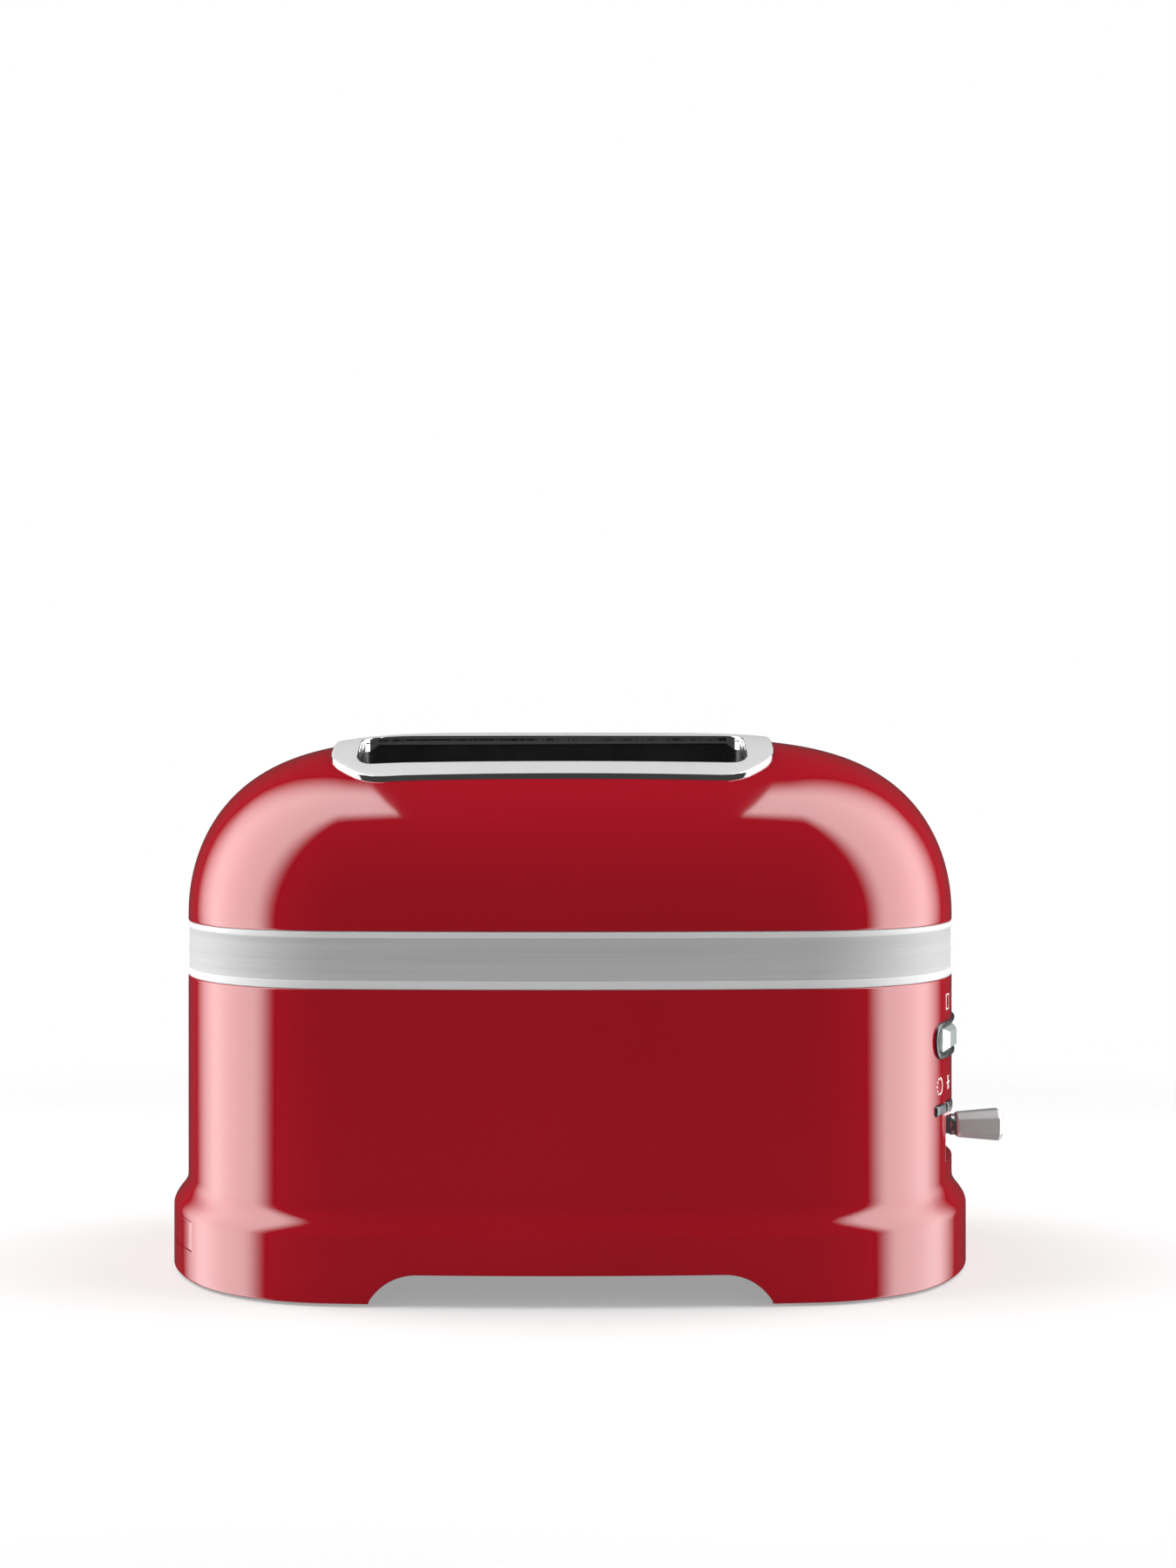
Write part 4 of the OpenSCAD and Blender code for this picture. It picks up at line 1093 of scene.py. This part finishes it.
class TOASTER_OT_lever(bpy.types.Operator):
    """Tapered eight-sided lever knob, its collar and the faceted pocket"""

    bl_idname = "toaster.lever"
    bl_label = "Lever"

    def execute(self, context):
        form, z = FORM[0], middle("lever_knob").z
        root, tip = (corner.x - form.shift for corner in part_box("lever_knob"))
        self.knob(root, tip, z)
        self.collar(root, z)
        self.pocket(form)
        return {"FINISHED"}

    def knob(self, root, tip, z):
        across = span("lever_knob").z / 2
        profile = [(root, 0.66), (root + 0.3 * MM, 0.72), (root + 0.9 * MM, 0.79)]
        for back, share in ((2.0, 1.0), (1.5, 1.0), (0.5, 0.87), (0.12, 0.79), (0.0, 0.68)):
            profile.append((tip - back * MM, share))
        corner = ((0.5, 1), (1, 0.5), (1, -0.5), (0.5, -1), (-0.5, -1), (-1, -0.5), (-1, 0.5), (-0.5, 1))
        sides = np.array(corner) * across
        rings = [level(sides * share + (0, z), x)[:, (2, 0, 1)] for x, share in profile]
        faces = capped_faces(len(rings), len(sides))
        knob = new_piece("lever_grip", np.vstack(rings), faces, [lever_metal()])
        turn_outwards(knob)
        soften(knob, 0.35 * MM, 3, 20)
        settle(knob, "lever_knob")

    def collar(self, root, z):
        """Turned collar where the knob meets the arm."""
        profile = ((-2.4, 3.0), (-2.3, 3.8), (-2.0, 4.1), (-0.8, 4.1), (-0.5, 3.8), (-0.45, 3.2), (0.3, 3.2))
        obj = skin("lever_collar", turned(np.array(profile) * MM, 0, (root, 0, z)), [chrome()])
        turn_outwards(obj)
        attach(obj, "lever_knob")

    def pocket(self, form):
        """Red pocket whose walls slope in to the slot that the arm moves in."""
        z, size = middle("lever_recess").z + 0.5 * MM, span("lever_recess") / MM
        u, v = size.y / 2, size.z / 2 - 0.5
        levels = (
            (-2.4, u, v, 1.2), (-0.3, u, v, 1.2), (-0.05, u - 0.25, v - 0.25, 1.0),
            (-0.1, u - 0.8, v - 0.6, 0.8), (-0.9, u - 1.8, v - 0.9, 0.8),
            (-5.4, 9.0, v - 1.0, 0.6), (-8.0, 4.8, v - 1.1, 0.6),
        )
        rings = []
        for out, half_u, half_v, corner in levels:
            line = rounded(half_u * MM, half_v * MM, corner * MM, 4)
            x = form.end_cx + np.sqrt(form.end_r**2 - line[:, 0] ** 2) + out * MM
            rings.append(level(line + (0, z), x)[:, (2, 0, 1)])
        settle(skin("lever_pocket", rings, [red_enamel()], sharp=24), "lever_recess")


class TOASTER_OT_base(bpy.types.Operator):
    """Feet, crumb tray and cord gland"""

    bl_idname = "toaster.base"
    bl_label = "Base"

    def execute(self, context):
        form = FORM[0]
        self.feet()
        self.gland(form)
        self.tray(form, context.scene.toaster_shape.flare)
        return {"FINISHED"}

    def tray(self, form, flare):
        """Steel crumb pan with the red front that closes the cord end."""
        low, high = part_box("crumb_tray")
        half, tall = span("crumb_tray").y / 2, span("crumb_tray").z / 2
        thick = 0.8 * MM
        back, front = high.x - form.shift, -(form.end_cx + form.end_r + flare - 23 * MM)
        reach, centre = (back - front) / 2, ((back + front) / 2, 0, low.z + 2.9 * MM)
        outline = rounded(reach, half, 2 * MM, 4)
        inside = rounded(reach - thick, half - thick, 1.2 * MM, 4)
        pan = prism("crumb_pan", outline, 0, 6 * MM, centre, along_x=False)
        cut_away(pan, [prism("cut_pan", inside, thick, 8 * MM, centre, along_x=False)])
        pan.data.materials.append(steel_sheet())
        settle(pan, "crumb_tray")
        z, outside = middle("crumb_tray").z, form.end_r + flare - 1.3 * MM

        def on_cord_end(u, v, w):
            return -form.end_cx - np.sqrt((outside + w) ** 2 - u**2), u, v + z

        edge = rounded(half, tall, 1 * MM, 4)
        door = plate("tray_front", edge, [], 2.6 * MM, 0.4 * MM, 4 * MM, red_enamel(), on_cord_end)
        attach(door, "crumb_tray", "red_enamel")

    def feet(self):
        size = span("rubber_feet")
        profile = np.array(
            [
                (0.0, 5.0), (0.25, 5.3), (0.25, 5.9), (0.0, 6.2), (0.0, 7.3),
                (0.25, 8.1), (0.9, 8.75), (1.8, 9.0), (11.5, 9.0), (12.0, 8.6),
            ]
        )
        radius = 9 * MM
        points, faces = [], []
        for x in (radius - size.x / 2, size.x / 2 - radius):
            for y in (radius - size.y / 2, size.y / 2 - radius):
                faces += capped_faces(len(profile), ROUND, len(points) * ROUND)
                points += turned(profile * MM, 2, (x, y, 0))
        obj = new_piece("feet", np.vstack(points), faces, [rubber()])
        turn_outwards(obj)
        obj.data.set_sharp_from_angle(angle=math.radians(45))
        settle(obj, "rubber_feet")

    def gland(self, form):
        at = middle("strain_relief")
        face, back = (corner.x - form.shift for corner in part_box("strain_relief"))
        profile = [(back - drop * MM, r) for drop, r in ((0, 3.6), (0, 10.0), (1.5, 10.0), (1.5, 8.0))]
        for rise, r in (
            (9.0, 8.0), (3.0, 8.0), (2.6, 7.7), (2.2, 7.7), (1.8, 8.0), (0.6, 8.0),
            (0.1, 7.6), (0.0, 7.0), (0.0, 4.4), (0.5, 3.7), (1.5, 3.6),
        ):
            profile.append((face + rise * MM, r))
        rings = turned([(x, r * MM) for x, r in profile], 0, (0, at.y, at.z))
        settle(skin("cord_gland", rings, [rubber()], closed_up=True, sharp=45), "strain_relief")


class TOASTER_OT_finishes(bpy.types.Operator):
    """Procedural finishes on every CAD piece that shows as it is"""

    bl_idname = "toaster.finishes"
    bl_label = "Finishes"

    def execute(self, context):
        for node, obj in frame["nodes"].items():
            obj.data.materials.clear()
            obj.data.materials.append(FINISHES[SLOT_OF[node]]())
        return {"FINISHED"}


class TOASTER_OT_studio(bpy.types.Operator):
    """Pale floor, two tall soft panels, a dim card and the camera"""

    bl_idname = "toaster.studio"
    bl_label = "Studio"

    def execute(self, context):
        studio = context.scene.toaster_studio
        self.camera(context, studio)
        self.floor()
        self.world(context)
        for side in (-1, 1):
            self.panel(side, studio)
        self.fill(studio)
        context.scene.view_settings.view_transform = "Standard"
        context.scene.cycles.use_denoising = True
        return {"FINISHED"}

    def camera(self, context, studio):
        lens = bpy.data.cameras.new("camera")
        lens.lens = studio.lens
        lens.shift_x = 0.002
        lens.clip_start = 0.01
        camera = bpy.data.objects.new("camera", lens)
        context.scene.collection.objects.link(camera)
        camera.location = (FORM[0].shift - 0.8 * MM, -studio.camera_distance, studio.camera_height)
        camera.rotation_euler = (math.radians(90), 0, -0.007)
        context.scene.camera = camera

    def floor(self):
        """White paper that fades out into the white room before its edge."""
        bpy.ops.mesh.primitive_plane_add(size=8)
        floor = bpy.context.object
        floor.name = "floor"
        m = Finish("floor_paper")
        grain = m.noise(m.place(), 3.0, 2.0)
        reach = m.node("ShaderNodeVectorMath", {"operation": "LENGTH"}, {0: m.place()}, output="Value")
        m.set(
            Base_Color=m.two_tone(grain, (0.56, 0.56, 0.56), (0.57, 0.57, 0.57)),
            Roughness=m.between(grain, 0.8, 0.9),
            Specular_IOR_Level=0.0,
            Emission_Color=(1.0, 1.0, 1.0),
            Emission_Strength=0.32,
            Alpha=m.fade(reach, 0.72, 0.32),
        )
        floor.data.materials.append(m.material)
        floor.visible_glossy = False

    def world(self, context):
        """White to the camera and dim to everything else."""
        world = bpy.data.worlds.new("room")
        context.scene.world = world
        world.use_nodes = True
        tree = world.node_tree
        tree.nodes.clear()
        output = tree.nodes.new("ShaderNodeOutputWorld")
        path = tree.nodes.new("ShaderNodeLightPath")
        mix = tree.nodes.new("ShaderNodeMixShader")
        tree.links.new(path.outputs["Is Camera Ray"], mix.inputs[0])
        for socket, strength in ((1, 0.05), (2, 1.0)):
            white = tree.nodes.new("ShaderNodeBackground")
            white.inputs["Color"].default_value = (1, 1, 1, 1)
            white.inputs["Strength"].default_value = strength
            tree.links.new(white.outputs[0], mix.inputs[socket])
        tree.links.new(mix.outputs[0], output.inputs[0])

    def glow(self, obj, m, shade, strength):
        """A light that the camera doesn't see, of one shade."""
        m.set(Base_Color=(0, 0, 0), Specular_IOR_Level=0.0, Emission_Color=shade, Emission_Strength=strength)
        obj.data.materials.append(m.material)
        obj.visible_camera = False

    def panel(self, side, studio):
        """A tall glowing panel beside the toaster, wider towards its top, that fades at its upright edges."""
        foot, head = -0.6, 4.2
        back = 0.68 if side < 0 else 0.62
        steps = np.linspace(0, 1, 13)
        points, places = [], []
        for up in steps:
            z = foot + (head - foot) * up
            near, far = -0.44 - 0.15 * max(z, 0), back + 0.2 * max(z, 0)
            for along in steps:
                points.append((side * studio.panel_distance, near + (far - near) * along, z))
                places.append((along, up))
        n = len(steps)
        corners = [j * n + i for j in range(n - 1) for i in range(n - 1)]
        mesh = bpy.data.meshes.new("panel_left" if side < 0 else "panel_right")
        mesh.from_pydata(points, [], [(i, i + 1, n + i + 1, n + i) for i in corners])
        layer = mesh.uv_layers.new(name="along")
        for loop in mesh.loops:
            layer.data[loop.index].uv = places[loop.vertex_index]
        panel = bpy.data.objects.new(mesh.name, mesh)
        bpy.context.scene.collection.objects.link(panel)
        m = Finish("panel_glow")
        across = m.node("ShaderNodeSeparateXYZ", None, {0: m.node("ShaderNodeTexCoord", output="UV")})
        share = m.fade(across, 0.0, 0.22) * m.fade(across, 1.0, 0.5)
        self.glow(panel, m, m.mix_colour(share, (0, 0, 0), (1, 1, 1)), studio.panel_strength)

    def fill(self, studio):
        """A wide dim card behind the lens that evens out the front without showing in the enamel."""
        bpy.ops.mesh.primitive_plane_add(size=1)
        card = bpy.context.object
        card.name = "fill_card"
        card.scale = (3.0, 1.6, 1)
        card.rotation_euler = (math.radians(90), 0, 0)
        card.location = (0, -1.5, 0.6)
        card.visible_glossy = False
        m = Finish("fill_glow")
        shade = m.mix_colour(m.noise(m.place(), 2.0), (0.95, 0.95, 0.95), (1, 1, 1))
        self.glow(card, m, shade, studio.fill_strength)


class TOASTER_PT_panel(bpy.types.Panel):
    """Sizes, colours and steps of the toaster"""

    bl_idname = "TOASTER_PT_panel"
    bl_label = "Toaster"
    bl_space_type = "VIEW_3D"
    bl_region_type = "UI"
    bl_category = "Toaster"

    def draw(self, context):
        for group_name, kind in GROUPS:
            box = self.layout.box()
            for name in kind.__annotations__:
                box.prop(getattr(context.scene, group_name), name)
        for operator in OPERATORS:
            self.layout.operator(operator.bl_idname)


GROUPS = (
    ("toaster_shape", ToasterShape),
    ("toaster_colours", ToasterColours),
    ("toaster_studio", ToasterStudio),
)
OPERATORS = (
    TOASTER_OT_studio,
    TOASTER_OT_finishes,
    TOASTER_OT_lower_shell,
    TOASTER_OT_upper_shell,
    TOASTER_OT_band,
    TOASTER_OT_bezel,
    TOASTER_OT_slider,
    TOASTER_OT_buttons,
    TOASTER_OT_lever,
    TOASTER_OT_base,
)


def register():
    for name, group in GROUPS:
        bpy.utils.register_class(group)
        setattr(bpy.types.Scene, name, bpy.props.PointerProperty(type=group))
    for item in (*OPERATORS, TOASTER_PT_panel):
        bpy.utils.register_class(item)
    FORM[0] = Form(bpy.context.scene.toaster_shape)


def unregister():
    for item in (TOASTER_PT_panel, *reversed(OPERATORS)):
        bpy.utils.unregister_class(item)
    for name, group in reversed(GROUPS):
        delattr(bpy.types.Scene, name)
        bpy.utils.unregister_class(group)


def main():
    register()
    for operator in OPERATORS:
        step = operator.bl_idname.split(".")[1]
        getattr(bpy.ops.toaster, step)()


if __name__ == "__main__":
    main()
